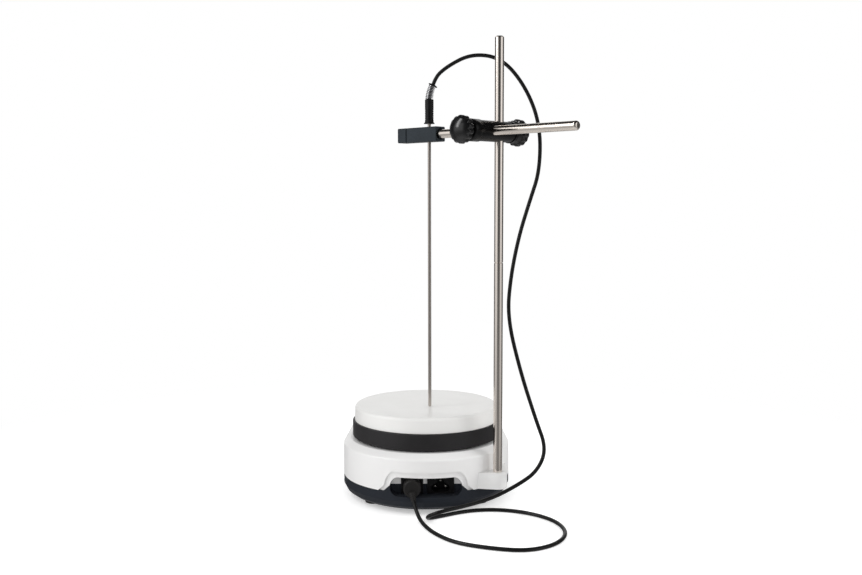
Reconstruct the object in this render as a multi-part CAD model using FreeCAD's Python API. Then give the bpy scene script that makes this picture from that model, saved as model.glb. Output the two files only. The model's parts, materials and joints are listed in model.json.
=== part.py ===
import FreeCAD, Part
import math
import os

# Hotplate magnetic stirrer with a two-part support rod, a cross clamp and a temperature probe.
# Millimetres. X runs to the right as seen from the rear, +Y towards the controls, +Z up.
# Heights below are measured up from the bench. Every piece is moved down by PLATE_TOP when it is
# written, so that the origin is the centre of the plate's top face, on the stirring axis.

# Housing
HOUSING_RADIUS = 78.0
HOUSING_FRONT_HALF_WIDTH = 70.0
HOUSING_FRONT_Y = 164.0
FRONT_CORNER_RADIUS = 18.0
HOUSING_WALL = 2.6
PARTING_HEIGHT = 20.2
SHOULDER_HEIGHT = 49.7
HOUSING_TOP = 54.5
SHOULDER_INSET = 6.5
SHOULDER_FILLET = 1.8
PANEL_TOP_Y = 101.0
PANEL_FRONT_HEIGHT = 31.0
SCREW_BOSS_RADIUS = 4.0
SCREW_RADIUS = 1.5
SCREW_HEAD_RADIUS = 2.8
SCREW_HEAD_HEIGHT = 1.8
SCREW_LENGTH = 14.0
SCREW_CLEARANCE = 0.1
SCREW_PLACES = [(-58.0, 30.0), (58.0, 30.0), (-55.0, 140.0), (55.0, 140.0)]

# Base tray and feet
TRAY_BOTTOM = 4.0
TRAY_FLOOR = 2.5
TRAY_EDGE_HEIGHT = 8.4
TRAY_EDGE_INSET = 7.0
TRAY_EDGE_BEND = (3.2, 2.6)
TRAY_LIP = 2.0
LIP_THICKNESS = 1.4
FIT_CLEARANCE = 0.2
FOOT_RADIUS = 8.0
FOOT_TOP_RADIUS = 9.0
FOOT_POCKET = 1.0
FOOT_PLACES = [(-48.0, -34.0), (48.0, -34.0), (-52.0, 122.0), (52.0, 122.0)]

# Connector recess in the rear wall
ARCH_TIP_X = 37.5
ARCH_SHOULDER_X = 32.0
ARCH_SHOULDER_Z = 25.6
ARCH_TOP_X = 25.4
ARCH_TOP_Z = 33.5
ARCH_LIP = 5.0
ARCH_LIP_DEPTH = 1.6
SCOOP_FLOOR_Z = 16.5
SCOOP_FLOOR_X = 25.5
RECESS_BACK_Y = -62.0
RECESS_WALL = 2.2
RECESS_PARTING_Z = 24.8
SOCKET_TOP_Z = 32.0
SOCKET_FRONT_Y = -64.6
SOCKET_DEPTH = 16.0
SENSOR_SOCKET_X = (-22.1, -2.6)
INLET_X = (1.4, 25.0)
INLET_CAVITY_DEPTH = 13.0
INLET_RIM = 1.6
PIN_RADIUS = 1.25
PIN_LENGTH = 8.0
PIN_SPACING = 9.8
PIN_LOWER_Z = 21.6
PIN_UPPER_Z = 27.0

# Plate, collar and heater
PLATE_TOP = 85.0
PLATE_THICKNESS = 14.0
PLATE_RADIUS = 67.5
PLATE_TAPER = 0.5
PLATE_EDGE_FILLET = 3.0
PLATE_RECESS_RADIUS = 57.0
PLATE_RECESS_DEPTH = 6.0
COLLAR_RADIUS = 69.4
COLLAR_WALL = 4.0
COLLAR_UNDERCUT = 1.5
COLLAR_SEAT_RADIUS = 65.0
COLLAR_NECK_RADIUS = 61.0
COLLAR_NECK_DEPTH = 4.0
COLLAR_PLATE_GAP = 0.3
HEATER_RADIUS = 44.0
HEATER_THICKNESS = 3.0
INSULATION_RADIUS = 56.0
INSULATION_THICKNESS = 5.0
SHIELD_RADIUS = 56.5
SHIELD_THICKNESS = 1.2
POST_RADIUS = 3.0
POST_CIRCLE = 50.0
POST_HOLE_CLEARANCE = 0.3

# Motor and magnet carrier
MOTOR_RADIUS = 27.0
MOTOR_HEIGHT = 26.0
MOTOR_BASE = 10.0
MOTOR_CAP_RADIUS = 14.0
MOTOR_CAP_HEIGHT = 3.0
SHAFT_RADIUS = 3.0
SHAFT_CLEARANCE = 0.08
BRACKET_THICKNESS = 2.0
BRACKET_ARM_WIDTH = 12.0
CARRIER_RADIUS = 38.0
CARRIER_THICKNESS = 4.0
CARRIER_HUB_RADIUS = 8.0
CARRIER_HUB_HEIGHT = 6.0
CARRIER_GAP = 2.0
MAGNET_LENGTH = 16.0
MAGNET_WIDTH = 12.0
MAGNET_HEIGHT = 5.0
MAGNET_OFFSET = 24.0

# Boards inside
BOARD_THICKNESS = 1.6
POWER_BOARD = (96.0, 44.0)
POWER_BOARD_Y = 118.0
BOARD_STANDOFF = 5.0
TRANSFORMER = (30.0, 26.0, 14.0)
TRANSFORMER_CORNER = (-40.0, 4.0)
STANDOFF_RADIUS = 2.5
STANDOFF_INSET = 5.0
CAPACITOR_RADIUS = 5.0
CAPACITOR_HEIGHT = 12.0
CAPACITOR_INSET = 12.0
CAPACITOR_PLACES_X = (8.0, 22.0)
BOARD_GAP = 1.0
CONTROL_BOARD = (99.0, 36.0)
CONTROL_BOARD_DEPTH = 12.0

# Control panel, worked in the plane of the slope
PANEL_WIDTH = 122.0
PANEL_DEPTH = 48.0
PANEL_THICKNESS = 1.2
PANEL_CORNER = 6.0
PANEL_PROUD = 0.3
WINDOW_WIDTH = 46.0
WINDOW_DEPTH = 18.0
WINDOW_THICKNESS = 1.0
WINDOW_OFFSET = -10.0
KNOB_OFFSET_X = 42.0
KNOB_RADIUS = 13.0
KNOB_TOP_RADIUS = 11.4
KNOB_HEIGHT = 13.0
KNOB_SKIRT_RADIUS = 14.5
KNOB_SKIRT_HEIGHT = 2.2
KNOB_GAP = 0.5
KNOB_FLUTES = 18
KNOB_FLUTE_RADIUS = 1.0
KNOB_SHAFT_RADIUS = 3.0
ENCODER_WIDTH = 13.0
ENCODER_HEIGHT = 7.0
BUSH_RADIUS = 4.5
ROCKER_WIDTH = 17.0
ROCKER_DEPTH = 10.0
ROCKER_OFFSET = 12.5
ROCKER_TILT = 8.0
ROCKER_FRAME = 1.5
ROCKER_FRAME_HEIGHT = 1.2
ROCKER_BODY_DEPTH = 11.0
ROCKER_CLEARANCE = 0.35

# Support rod
ROD_RADIUS = 4.0
ROD_X = 64.3
ROD_Y = -57.0
ROD_JOINT_Z = 222.2
ROD_TOP_Z = 417.7
ROD_BOTTOM_Z = 23.0
ROD_CHAMFER = 1.0
ROD_JOINT_GROOVE = 0.3
STUD_RADIUS = 2.5
STUD_LENGTH = 10.0
STUD_CLEARANCE = 0.06
FOOT_BOSS_TOP = 34.5
FOOT_BOSS_RADIUS = 8.5
FOOT_BOSS_START_X = 46.0
INSERT_RADIUS = 5.6
INSERT_DEPTH = 1.4
ROD_FIT = 0.06

# Cross clamp. Its bar runs at CLAMP_ANGLE to the rear wall, and the cross rod at right angles to it.
CLAMP_Z = 336.0
CLAMP_ANGLE = 45.0
CLAMP_PITCH = 15.0
BAR_RADIUS = 9.0
BAR_ROD_END = 17.0
BAR_CROSS_END = 32.0
BAR_CHAMFER = 1.2
BAR_RING_RADIUS = 9.6
BAR_RING_WIDTH = 4.0
CLAMP_SCREW_RADIUS = 3.0
CLAMP_SCREW_GAP = 0.3
STAR_RADIUS = 12.0
STAR_LOBES = 14
STAR_NOTCH_RADIUS = 1.5
STAR_THICKNESS = 6.5
STAR_DOME_HEIGHT = 5.0
STAR_DOME_RADIUS = 9.6
STAR_HUB_RADIUS = 6.0
STAR_HUB_LENGTH = 3.5
STAR_GAP = 0.6

# Cross rod and probe holder. Distances run along the cross rod from the bar's axis.
CROSS_ROD_RADIUS = 4.0
CROSS_ROD_END = 96.0
CROSS_ROD_DOME = 2.2
HOLDER_START = 57.0
HOLDER_LENGTH = 42.0
HOLDER_WIDTH = 12.0
HOLDER_HEIGHT = 13.3
HOLDER_CHAMFER = 0.8
HOLDER_SOCKET_DEPTH = 9.0
HOLDER_SOCKET_RELIEF = 1.2
HOLDER_SLOT = 0.8
CAP_LENGTH = 12.2
CAP_TONGUE = 6.0
PROBE_OFFSET = 70.9
CAP_SCREW_RADIUS = 1.5

# Temperature probe
PROBE_RADIUS = 1.5
PROBE_TIP_GAP = 0.3
PROBE_FIT = 0.06
FLANGE_BOTTOM_Z = 345.7
FLANGE_RADIUS = 5.0
FLANGE_HEIGHT = 1.8
HANDLE_RADIUS = 3.9
HANDLE_TOP_Z = 367.6
HANDLE_RIBS = 5
HANDLE_RIB_DEPTH = 0.35
SPRING_RADIUS = 3.2
SPRING_WIRE = 0.35
SPRING_TURNS = 7
SPRING_LENGTH = 12.0
SPRING_LEAN = 11.0
RELIEF_COLLAR_RADIUS = 4.2
RELIEF_COLLAR_HEIGHT = 1.6

# Sensor cord. Its points are chosen by hand: exit, over the rod, down, along the bench, to the plug.
CORD_RADIUS = 1.7
CORD_CLEARANCE = 0.3
CORD_SPLIT_Z = 318.0
CORD_UPPER = [
    (19.5, -17.5, 397.0), (42.0, -20.0, 408.0), (68.5, -25.0, 403.5), (89.5, -29.5, 378.0),
    (102.5, -33.5, 344.0),
]
CORD_LOWER = [
    (102.5, -33.5, 303.0), (93.5, -35.5, 276.0), (83.5, -38.5, 244.0), (76.0, -42.5, 207.0),
    (73.2, -46.0, 172.0), (84.5, -51.0, 124.5), (98.0, -57.0, 82.0), (107.5, -61.5, 56.0),
    (98.5, -67.5, 37.0), (80.0, -74.5, 26.5), (58.0, -80.5, 17.0), (35.0, -91.0, 13.6),
    (13.3, -106.4, 13.6), (1.6, -101.8, 7.9), (1.6, -89.5, 1.7), (15.6, -80.9, 1.7),
    (30.0, -71.5, 1.7), (47.0, -65.0, 1.7), (69.0, -65.0, 1.7), (93.0, -75.0, 1.7),
    (113.0, -97.0, 1.7), (118.0, -127.0, 1.7), (106.0, -154.0, 1.7), (81.0, -169.0, 1.7),
    (52.0, -163.0, 1.7), (24.0, -150.0, 1.7), (7.5, -128.0, 1.7), (-0.5, -109.0, 1.7),
    (-5.0, -96.5, 3.0),
]

# Plug
PLUG_X = -12.2
PLUG_Z = 24.3
PLUG_RADIUS = 7.8
PLUG_FRONT_Y = -78.5
PLUG_FILLET = 2.0
PLUG_SHELL_RADIUS = 6.2
PLUG_SHELL_LENGTH = 7.0
BOOT_LENGTH = 7.5
BOOT_START_RADIUS = 3.2
BOOT_END_RADIUS = 2.3
BOOT_ANGLE = 50.0
BOOT_TURN = 20.0

Vector = FreeCAD.Vector
UP = Vector(0, 0, 1)
SLOPE = math.degrees(math.atan2(HOUSING_TOP - PANEL_FRONT_HEIGHT, HOUSING_FRONT_Y - PANEL_TOP_Y))
PLATE_BOTTOM = PLATE_TOP - PLATE_THICKNESS
PLATE_CEILING = PLATE_BOTTOM + PLATE_RECESS_DEPTH


def cylinder(radius, low, high, x=0.0, y=0.0):
    """An upright cylinder between two heights."""
    return Part.makeCylinder(radius, high - low, Vector(x, y, low))


def tube(outer, inner, low, high, x=0.0, y=0.0):
    """An upright ring between two heights."""
    return cylinder(outer, low, high, x, y).cut(cylinder(inner, low, high, x, y))


def block(x_range, y_range, z_range):
    """A box given by its three ranges."""
    size = [high - low for low, high in (x_range, y_range, z_range)]
    return Part.makeBox(*size, Vector(x_range[0], y_range[0], z_range[0]))


def turned(profile):
    """A solid of revolution about Z from a closed list of (radius, height) points."""
    wire = Part.makePolygon([Vector(r, 0, z) for r, z in profile + profile[:1]])
    return Part.Face(wire).revolve(Vector(0, 0, 0), UP, 360)


def rounded_plate(width, depth, corner, low, high):
    """A plate centred on the local origin, with round corners."""
    plate = block((-width / 2, width / 2), (-depth / 2, depth / 2), (low, high))
    uprights = [e for e in plate.Edges if abs(e.Vertexes[0].Z - e.Vertexes[1].Z) > 1e-6]
    return plate.makeFillet(corner, uprights)


def level_edges(shape, height, keep=lambda edge: True):
    """The edges of a shape that lie wholly at one height."""
    found = []
    for edge in shape.Edges:
        box = edge.BoundBox
        if abs(box.ZMin - height) < 1e-4 and abs(box.ZMax - height) < 1e-4 and keep(edge):
            found.append(edge)
    return found


def save(name, shape):
    """Writes one piece, moved so that the origin is the centre of the plate's top face."""
    piece = shape.copy()
    piece.translate(Vector(0, 0, -PLATE_TOP))
    solids = piece.Solids
    if not solids or not all(solid.isValid() for solid in solids):
        raise ValueError(name + " is not a valid solid")
    if len(solids) == 1:
        piece = solids[0]
    piece.exportStep(os.path.join("parts", name + ".step"))
    print(name, len(solids), round(piece.Volume, 2))


def outline(inset, height):
    """The plan of the housing, pulled in by inset: round at the rear, with sides that draw in to the front."""
    radius = HOUSING_RADIUS - inset
    half = HOUSING_FRONT_HALF_WIDTH - inset
    front = HOUSING_FRONT_Y - inset
    corner = FRONT_CORNER_RADIUS - min(inset, FRONT_CORNER_RADIUS - 2.0)
    lean = math.atan2(HOUSING_RADIUS - HOUSING_FRONT_HALF_WIDTH, HOUSING_FRONT_Y)
    side = Vector(radius * math.cos(lean), radius * math.sin(lean), height)
    turn = Vector(half, front, height)
    run = turn.sub(side)
    run.normalize()
    along = corner * math.tan((math.pi / 2 + lean) / 2)
    before = turn.sub(run.multiply(along))
    after = Vector(half - along, front, height)
    centre = Vector(after.x, front - corner, height)
    spread = Vector(half, front, height).sub(centre)
    spread.normalize()
    middle = centre.add(spread.multiply(corner))
    mirror = lambda p: Vector(-p.x, p.y, p.z)
    edges = [
        Part.Arc(mirror(side), Vector(0, -radius, height), side).toShape(),
        Part.makeLine(side, before),
        Part.Arc(before, middle, after).toShape(),
        Part.makeLine(after, mirror(after)),
        Part.Arc(mirror(after), mirror(middle), mirror(before)).toShape(),
        Part.makeLine(mirror(before), mirror(side)),
    ]
    return Part.Wire(edges)


def body_block(inset, low, high):
    """The housing's plan as an upright solid."""
    return Part.Face(outline(inset, low)).extrude(Vector(0, 0, high - low))


def domed_block(inset, low, shoulder, top, top_inset):
    """The housing's plan as a solid whose top draws in above the shoulder."""
    upper = Part.makeLoft([outline(inset, shoulder), outline(top_inset, top)], True, True)
    return body_block(inset, low, shoulder).fuse(upper).removeSplitter()


def slope_cutter(depth):
    """Everything above the plane of the control panel, moved down by depth along its normal."""
    size = 4 * HOUSING_RADIUS
    cutter = block((-size, size), (-size, size), (0.0, size))
    cutter.rotate(Vector(0, 0, 0), Vector(1, 0, 0), -SLOPE)
    cutter.translate(panel_normal().multiply(-depth))
    cutter.translate(Vector(0, PANEL_TOP_Y, HOUSING_TOP))
    return cutter


def panel_normal():
    """The outward normal of the control panel."""
    angle = math.radians(SLOPE)
    return Vector(0, math.sin(angle), math.cos(angle))


def on_panel(shape, x=0.0, y=0.0):
    """Moves a shape from the panel's plane, where +Y runs down the slope, to the object."""
    centre_y = (PANEL_TOP_Y + HOUSING_FRONT_Y) / 2
    centre_z = (HOUSING_TOP + PANEL_FRONT_HEIGHT) / 2
    placed = shape.copy()
    placed.translate(Vector(x, y, 0))
    placed.rotate(Vector(0, 0, 0), Vector(1, 0, 0), -SLOPE)
    placed.translate(Vector(0, centre_y, centre_z))
    return placed


def arch_profile(grow, low):
    """The arch of the connector recess as a closed wire in the XZ plane, made larger by grow."""
    points = [
        (ARCH_TIP_X + grow + (PARTING_HEIGHT - low), low),
        (ARCH_SHOULDER_X + grow, ARCH_SHOULDER_Z),
        (ARCH_TOP_X + grow, ARCH_TOP_Z + grow),
    ]
    right = [Vector(x, 0, z) for x, z in points]
    left = [Vector(-x, 0, z) for x, z in points]
    bulge = Vector((points[1][0] + points[2][0]) / 2 + 1.1, 0, (points[1][1] + points[2][1]) / 2 + 1.2)
    edges = [
        Part.makeLine(left[0], right[0]),
        Part.makeLine(right[0], right[1]),
        Part.Arc(right[1], bulge, right[2]).toShape(),
        Part.makeLine(right[2], left[2]),
        Part.Arc(left[2], Vector(-bulge.x, 0, bulge.z), left[1]).toShape(),
        Part.makeLine(left[1], left[0]),
    ]
    return Part.Wire(edges)


def arch_prism(grow, low, y_front, y_back):
    """The arch carried along Y between two planes."""
    face = Part.Face(arch_profile(grow, low))
    face.translate(Vector(0, y_front, 0))
    return face.extrude(Vector(0, y_back - y_front, 0))


def scoop_prism(y_front, y_back):
    """The scoop that the tray gives to the connectors: a flat floor with swept-up ends, open upwards."""
    rise = ARCH_SHOULDER_Z - SCOOP_FLOOR_Z
    reach = ARCH_SHOULDER_X - SCOOP_FLOOR_X
    ease = 1 - math.sqrt(0.5)
    bend = Vector(SCOOP_FLOOR_X + reach * (1 - ease), 0, SCOOP_FLOOR_Z + rise * ease)
    high = ARCH_TOP_Z + ARCH_LIP
    floor = Vector(SCOOP_FLOOR_X, 0, SCOOP_FLOOR_Z)
    shoulder = Vector(ARCH_SHOULDER_X, 0, ARCH_SHOULDER_Z)
    top = Vector(ARCH_SHOULDER_X, 0, high)
    mirror = lambda p: Vector(-p.x, p.y, p.z)
    edges = [
        Part.makeLine(mirror(floor), floor),
        Part.Arc(floor, bend, shoulder).toShape(),
        Part.makeLine(shoulder, top),
        Part.makeLine(top, mirror(top)),
        Part.makeLine(mirror(top), mirror(shoulder)),
        Part.Arc(mirror(shoulder), mirror(bend), mirror(floor)).toShape(),
    ]
    face = Part.Face(Part.Wire(edges))
    face.translate(Vector(0, y_front, 0))
    return face.extrude(Vector(0, y_back - y_front, 0))


def socket_window(clearance):
    """The openings in the recess wall that the two sockets come through."""
    rear = (RECESS_BACK_Y - 1.0, RECESS_BACK_Y + RECESS_WALL + 1.0)
    cutters = []
    for low, high in (SENSOR_SOCKET_X, INLET_X):
        cutters.append(block((low - clearance, high + clearance), rear, (SCOOP_FLOOR_Z, SOCKET_TOP_Z + clearance)))
    return cutters[0].fuse(cutters[1])


def foot_boss(low, high):
    """The boss beside the rear wall that holds the rod: a wall tangent to a round post."""
    start = Vector(FOOT_BOSS_START_X, -math.sqrt(HOUSING_RADIUS ** 2 - FOOT_BOSS_START_X ** 2) + 0.5, low)
    centre = Vector(ROD_X, ROD_Y, low)
    reach = centre.sub(start)
    angle = math.atan2(reach.y, reach.x)
    swing = math.asin(FOOT_BOSS_RADIUS / reach.Length)
    length = math.sqrt(reach.Length ** 2 - FOOT_BOSS_RADIUS ** 2)
    front = start.add(Vector(length * math.cos(angle - swing), length * math.sin(angle - swing), 0))
    right = centre.add(Vector(FOOT_BOSS_RADIUS, 0, 0))
    inner = Vector(ROD_X + FOOT_BOSS_RADIUS, -25.0, low)
    deep = Vector(40.0, -40.0, low)
    bulge_angle = (math.atan2(front.y - centre.y, front.x - centre.x)) / 2
    bulge = centre.add(Vector(FOOT_BOSS_RADIUS * math.cos(bulge_angle), FOOT_BOSS_RADIUS * math.sin(bulge_angle), 0))
    edges = [
        Part.makeLine(start, front),
        Part.Arc(front, bulge, right).toShape(),
        Part.makeLine(right, inner),
        Part.makeLine(inner, deep),
        Part.makeLine(deep, start),
    ]
    return Part.Face(Part.Wire(edges)).extrude(Vector(0, 0, high - low))


def make_upper_housing():
    """The white moulded shell with its arch, rod boss, screw bosses and panel seat."""
    outer = domed_block(0.0, PARTING_HEIGHT, SHOULDER_HEIGHT, HOUSING_TOP, SHOULDER_INSET)
    outer = outer.cut(slope_cutter(0.0))
    shoulder_edges = level_edges(outer, SHOULDER_HEIGHT)
    outer = outer.makeFillet(SHOULDER_FILLET, shoulder_edges)
    inner = domed_block(
        HOUSING_WALL, PARTING_HEIGHT - 1.0, SHOULDER_HEIGHT - 1.0, HOUSING_TOP - HOUSING_WALL,
        SHOULDER_INSET + HOUSING_WALL,
    ).cut(slope_cutter(HOUSING_WALL))
    shell = outer.cut(inner)
    pocket_front = -HOUSING_RADIUS - 2.0
    liner = arch_prism(RECESS_WALL, PARTING_HEIGHT, pocket_front, RECESS_BACK_Y + RECESS_WALL)
    liner = liner.common(body_block(0.0, PARTING_HEIGHT, SHOULDER_HEIGHT))
    shell = shell.fuse(liner)
    shell = shell.cut(arch_prism(0.0, PARTING_HEIGHT - 0.5, pocket_front, RECESS_BACK_Y))
    below = block((-HOUSING_RADIUS, HOUSING_RADIUS), (RECESS_BACK_Y - 0.5, RECESS_BACK_Y + RECESS_WALL + 0.5),
                  (PARTING_HEIGHT - 1.0, RECESS_PARTING_Z))
    shell = shell.cut(below.common(arch_prism(RECESS_WALL + 1.0, PARTING_HEIGHT - 1.0, pocket_front, 0.0)))
    shell = shell.cut(socket_window(FIT_CLEARANCE))
    lip = arch_prism(ARCH_LIP, PARTING_HEIGHT - 0.5, pocket_front, 0.0)
    lip = lip.cut(cylinder(HOUSING_RADIUS - ARCH_LIP_DEPTH, 0.0, HOUSING_TOP))
    shell = shell.cut(lip.common(cylinder(HOUSING_RADIUS + 5.0, PARTING_HEIGHT, HOUSING_TOP)))
    boss = foot_boss(PARTING_HEIGHT, FOOT_BOSS_TOP)
    boss = boss.cut(cylinder(HOUSING_RADIUS - HOUSING_WALL, 0.0, HOUSING_TOP))
    shell = shell.fuse(boss)
    for x, y in SCREW_PLACES:
        top = HOUSING_TOP + 5.0
        post = cylinder(SCREW_BOSS_RADIUS, TRAY_BOTTOM + TRAY_FLOOR, top, x, y)
        post = post.common(body_block(HOUSING_WALL / 2, 0.0, top)).cut(slope_cutter(HOUSING_WALL / 2))
        post = post.common(block((-HOUSING_RADIUS, HOUSING_RADIUS), (-HOUSING_RADIUS, HOUSING_FRONT_Y),
                                 (0.0, HOUSING_TOP - HOUSING_WALL / 2)))
        inside = domed_block(HOUSING_WALL / 2, 0.0, SHOULDER_HEIGHT - 1.0, HOUSING_TOP - HOUSING_WALL / 2,
                             SHOULDER_INSET + HOUSING_WALL)
        shell = shell.fuse(post.common(inside))
    for x, y in SCREW_PLACES:
        hole_top = TRAY_BOTTOM + SCREW_LENGTH + SCREW_HEAD_HEIGHT + 1.0
        shell = shell.cut(cylinder(SCREW_RADIUS + SCREW_CLEARANCE, 0.0, hole_top, x, y))
    shell = shell.cut(cylinder(INSERT_RADIUS, ROD_BOTTOM_Z, FOOT_BOSS_TOP - INSERT_DEPTH, ROD_X, ROD_Y))
    shell = shell.cut(cylinder(ROD_RADIUS + FIT_CLEARANCE, ROD_BOTTOM_Z, HOUSING_TOP, ROD_X, ROD_Y))
    shell = shell.cut(cylinder(COLLAR_NECK_RADIUS + FIT_CLEARANCE, SHOULDER_HEIGHT, HOUSING_TOP + 1.0))
    seat = rounded_plate(PANEL_WIDTH + 2 * FIT_CLEARANCE, PANEL_DEPTH + 2 * FIT_CLEARANCE,
                         PANEL_CORNER + FIT_CLEARANCE, PANEL_PROUD - PANEL_THICKNESS, 5.0)
    shell = shell.cut(on_panel(seat))
    for x in (-KNOB_OFFSET_X, KNOB_OFFSET_X):
        shell = shell.cut(on_panel(cylinder(BUSH_RADIUS + FIT_CLEARANCE, -10.0, 5.0), x))
    opening = block((-WINDOW_WIDTH / 2 + 2, WINDOW_WIDTH / 2 - 2), (-WINDOW_DEPTH / 2 + 2, WINDOW_DEPTH / 2 - 2),
                    (-10.0, 5.0))
    shell = shell.cut(on_panel(opening, 0.0, WINDOW_OFFSET))
    shell = shell.cut(on_panel(rocker_body_block(FIT_CLEARANCE, -20.0, 5.0), 0.0, ROCKER_OFFSET))
    return shell.removeSplitter()


def rocker_body_block(clearance, low, high):
    """The plan of the switch body behind the panel."""
    half_x = ROCKER_WIDTH / 2 + clearance
    half_y = ROCKER_DEPTH / 2 + clearance
    return block((-half_x, half_x), (-half_y, half_y), (low, high))


def make_base_tray():
    """The charcoal tray: a drawn-in bottom edge, a lip inside the housing, and the scoop under the sockets."""
    edge_z = TRAY_BOTTOM + TRAY_EDGE_HEIGHT
    bend_rise, bend_inset = TRAY_EDGE_BEND
    outer = Part.makeLoft([outline(TRAY_EDGE_INSET, TRAY_BOTTOM), outline(bend_inset, TRAY_BOTTOM + bend_rise)],
                          True, True)
    outer = outer.fuse(Part.makeLoft([outline(bend_inset, TRAY_BOTTOM + bend_rise), outline(0.0, edge_z)],
                                     True, True))
    outer = outer.fuse(body_block(0.0, edge_z, PARTING_HEIGHT)).removeSplitter()
    floor_z = TRAY_BOTTOM + TRAY_FLOOR
    inner = Part.makeLoft([outline(bend_inset + HOUSING_WALL, floor_z), outline(HOUSING_WALL, edge_z)], True, True)
    inner = inner.fuse(body_block(HOUSING_WALL, edge_z, PARTING_HEIGHT + 1.0))
    tray = outer.cut(inner)
    lip_inset = HOUSING_WALL + FIT_CLEARANCE
    lip = body_block(lip_inset, PARTING_HEIGHT - TRAY_LIP, PARTING_HEIGHT + TRAY_LIP)
    lip = lip.cut(body_block(lip_inset + LIP_THICKNESS, PARTING_HEIGHT - TRAY_LIP, PARTING_HEIGHT + TRAY_LIP))
    rib = body_block(HOUSING_WALL - 0.5, PARTING_HEIGHT - 2 * TRAY_LIP, PARTING_HEIGHT - TRAY_LIP)
    rib = rib.cut(body_block(lip_inset + LIP_THICKNESS, 0.0, PARTING_HEIGHT))
    below_lip = body_block(lip_inset - 0.4, PARTING_HEIGHT - TRAY_LIP - 0.5, PARTING_HEIGHT)
    below_lip = below_lip.cut(body_block(lip_inset + LIP_THICKNESS, 0.0, PARTING_HEIGHT))
    tray = tray.fuse([rib, below_lip, lip])
    keep_clear = arch_prism(RECESS_WALL + FIT_CLEARANCE, PARTING_HEIGHT, -HOUSING_RADIUS, RECESS_BACK_Y + RECESS_WALL)
    tray = tray.cut(keep_clear)
    floor_low = SCOOP_FLOOR_Z - RECESS_WALL
    pocket_front = -HOUSING_RADIUS - 2.0
    pocket_back = RECESS_BACK_Y + RECESS_WALL
    solid = arch_prism(-FIT_CLEARANCE, floor_low, pocket_front, pocket_back)
    solid = solid.common(body_block(0.0, floor_low, ARCH_SHOULDER_Z))
    panel_top = block((-HOUSING_RADIUS, HOUSING_RADIUS), (RECESS_BACK_Y, pocket_back + 1.0),
                      (RECESS_PARTING_Z, HOUSING_TOP))
    solid = solid.cut(panel_top).cut(scoop_prism(pocket_front, RECESS_BACK_Y))
    tray = tray.cut(scoop_prism(pocket_front, RECESS_BACK_Y)).fuse(solid)
    tray = tray.cut(socket_window(FIT_CLEARANCE))
    for x, y in SCREW_PLACES:
        tray = tray.cut(cylinder(SCREW_RADIUS + SCREW_CLEARANCE, 0.0, floor_z + 1.0, x, y))
        tray = tray.cut(cylinder(SCREW_HEAD_RADIUS + SCREW_CLEARANCE, 0.0, TRAY_BOTTOM + 0.6, x, y))
    for x, y in FOOT_PLACES:
        tray = tray.cut(cylinder(FOOT_TOP_RADIUS, 0.0, TRAY_BOTTOM + FOOT_POCKET, x, y))
    return tray.removeSplitter()


def make_rubber_feet():
    """Four feet, wider where they sit in the tray."""
    feet = []
    for x, y in FOOT_PLACES:
        foot = Part.makeCone(FOOT_RADIUS, FOOT_TOP_RADIUS, TRAY_BOTTOM, Vector(x, y, 0))
        feet.append(foot.fuse(cylinder(FOOT_TOP_RADIUS, TRAY_BOTTOM, TRAY_BOTTOM + FOOT_POCKET, x, y)).removeSplitter())
    return Part.makeCompound(feet)


def make_housing_screws():
    """Four screws that come up through the tray into the housing's bosses."""
    screws = []
    seat = TRAY_BOTTOM + 0.6
    for x, y in SCREW_PLACES:
        head = cylinder(SCREW_HEAD_RADIUS, seat - SCREW_HEAD_HEIGHT, seat, x, y)
        drive = block((x - 2.0, x + 2.0), (y - 0.4, y + 0.4), (seat - SCREW_HEAD_HEIGHT, seat - 1.0))
        shank = cylinder(SCREW_RADIUS, seat, seat + SCREW_LENGTH, x, y)
        screws.append(head.cut(drive).fuse(shank).removeSplitter())
    return Part.makeCompound(screws)


def make_hot_plate():
    """The round plate with its rounded rim and the recess that takes the heater."""
    plate = Part.makeCone(PLATE_RADIUS, PLATE_RADIUS - PLATE_TAPER, PLATE_THICKNESS, Vector(0, 0, PLATE_BOTTOM))
    plate = plate.makeFillet(PLATE_EDGE_FILLET, level_edges(plate, PLATE_TOP))
    return plate.cut(cylinder(PLATE_RECESS_RADIUS, PLATE_BOTTOM - 1.0, PLATE_CEILING))


def make_plate_collar():
    """The black heat-shield collar: a tall outer band, an undercut seat and a neck in the housing."""
    top = PLATE_BOTTOM - COLLAR_PLATE_GAP
    low = HOUSING_TOP + COLLAR_UNDERCUT
    inner = COLLAR_RADIUS - COLLAR_WALL
    bore = COLLAR_NECK_RADIUS - COLLAR_WALL / 2
    profile = [
        (bore, HOUSING_TOP - COLLAR_NECK_DEPTH),
        (COLLAR_NECK_RADIUS, HOUSING_TOP - COLLAR_NECK_DEPTH),
        (COLLAR_NECK_RADIUS, HOUSING_TOP),
        (COLLAR_SEAT_RADIUS, HOUSING_TOP),
        (COLLAR_SEAT_RADIUS, low),
        (COLLAR_RADIUS - 0.8, low),
        (COLLAR_RADIUS, low + 0.8),
        (COLLAR_RADIUS, top - 0.6),
        (COLLAR_RADIUS - 0.6, top),
        (inner, top),
        (inner, low + COLLAR_WALL),
        (bore, low + COLLAR_WALL),
    ]
    return turned(profile)


def post_angles():
    """The directions of the four posts, between the feet."""
    return [math.radians(45 + 90 * k) for k in range(4)]


def post_places():
    """The centres of the four posts that carry the plate."""
    return [(POST_CIRCLE * math.cos(a), POST_CIRCLE * math.sin(a)) for a in post_angles()]


def with_post_holes(shape, low, high):
    """Cuts the four post holes through a disc."""
    for x, y in post_places():
        shape = shape.cut(cylinder(POST_RADIUS + POST_HOLE_CLEARANCE, low, high, x, y))
    return shape


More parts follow.
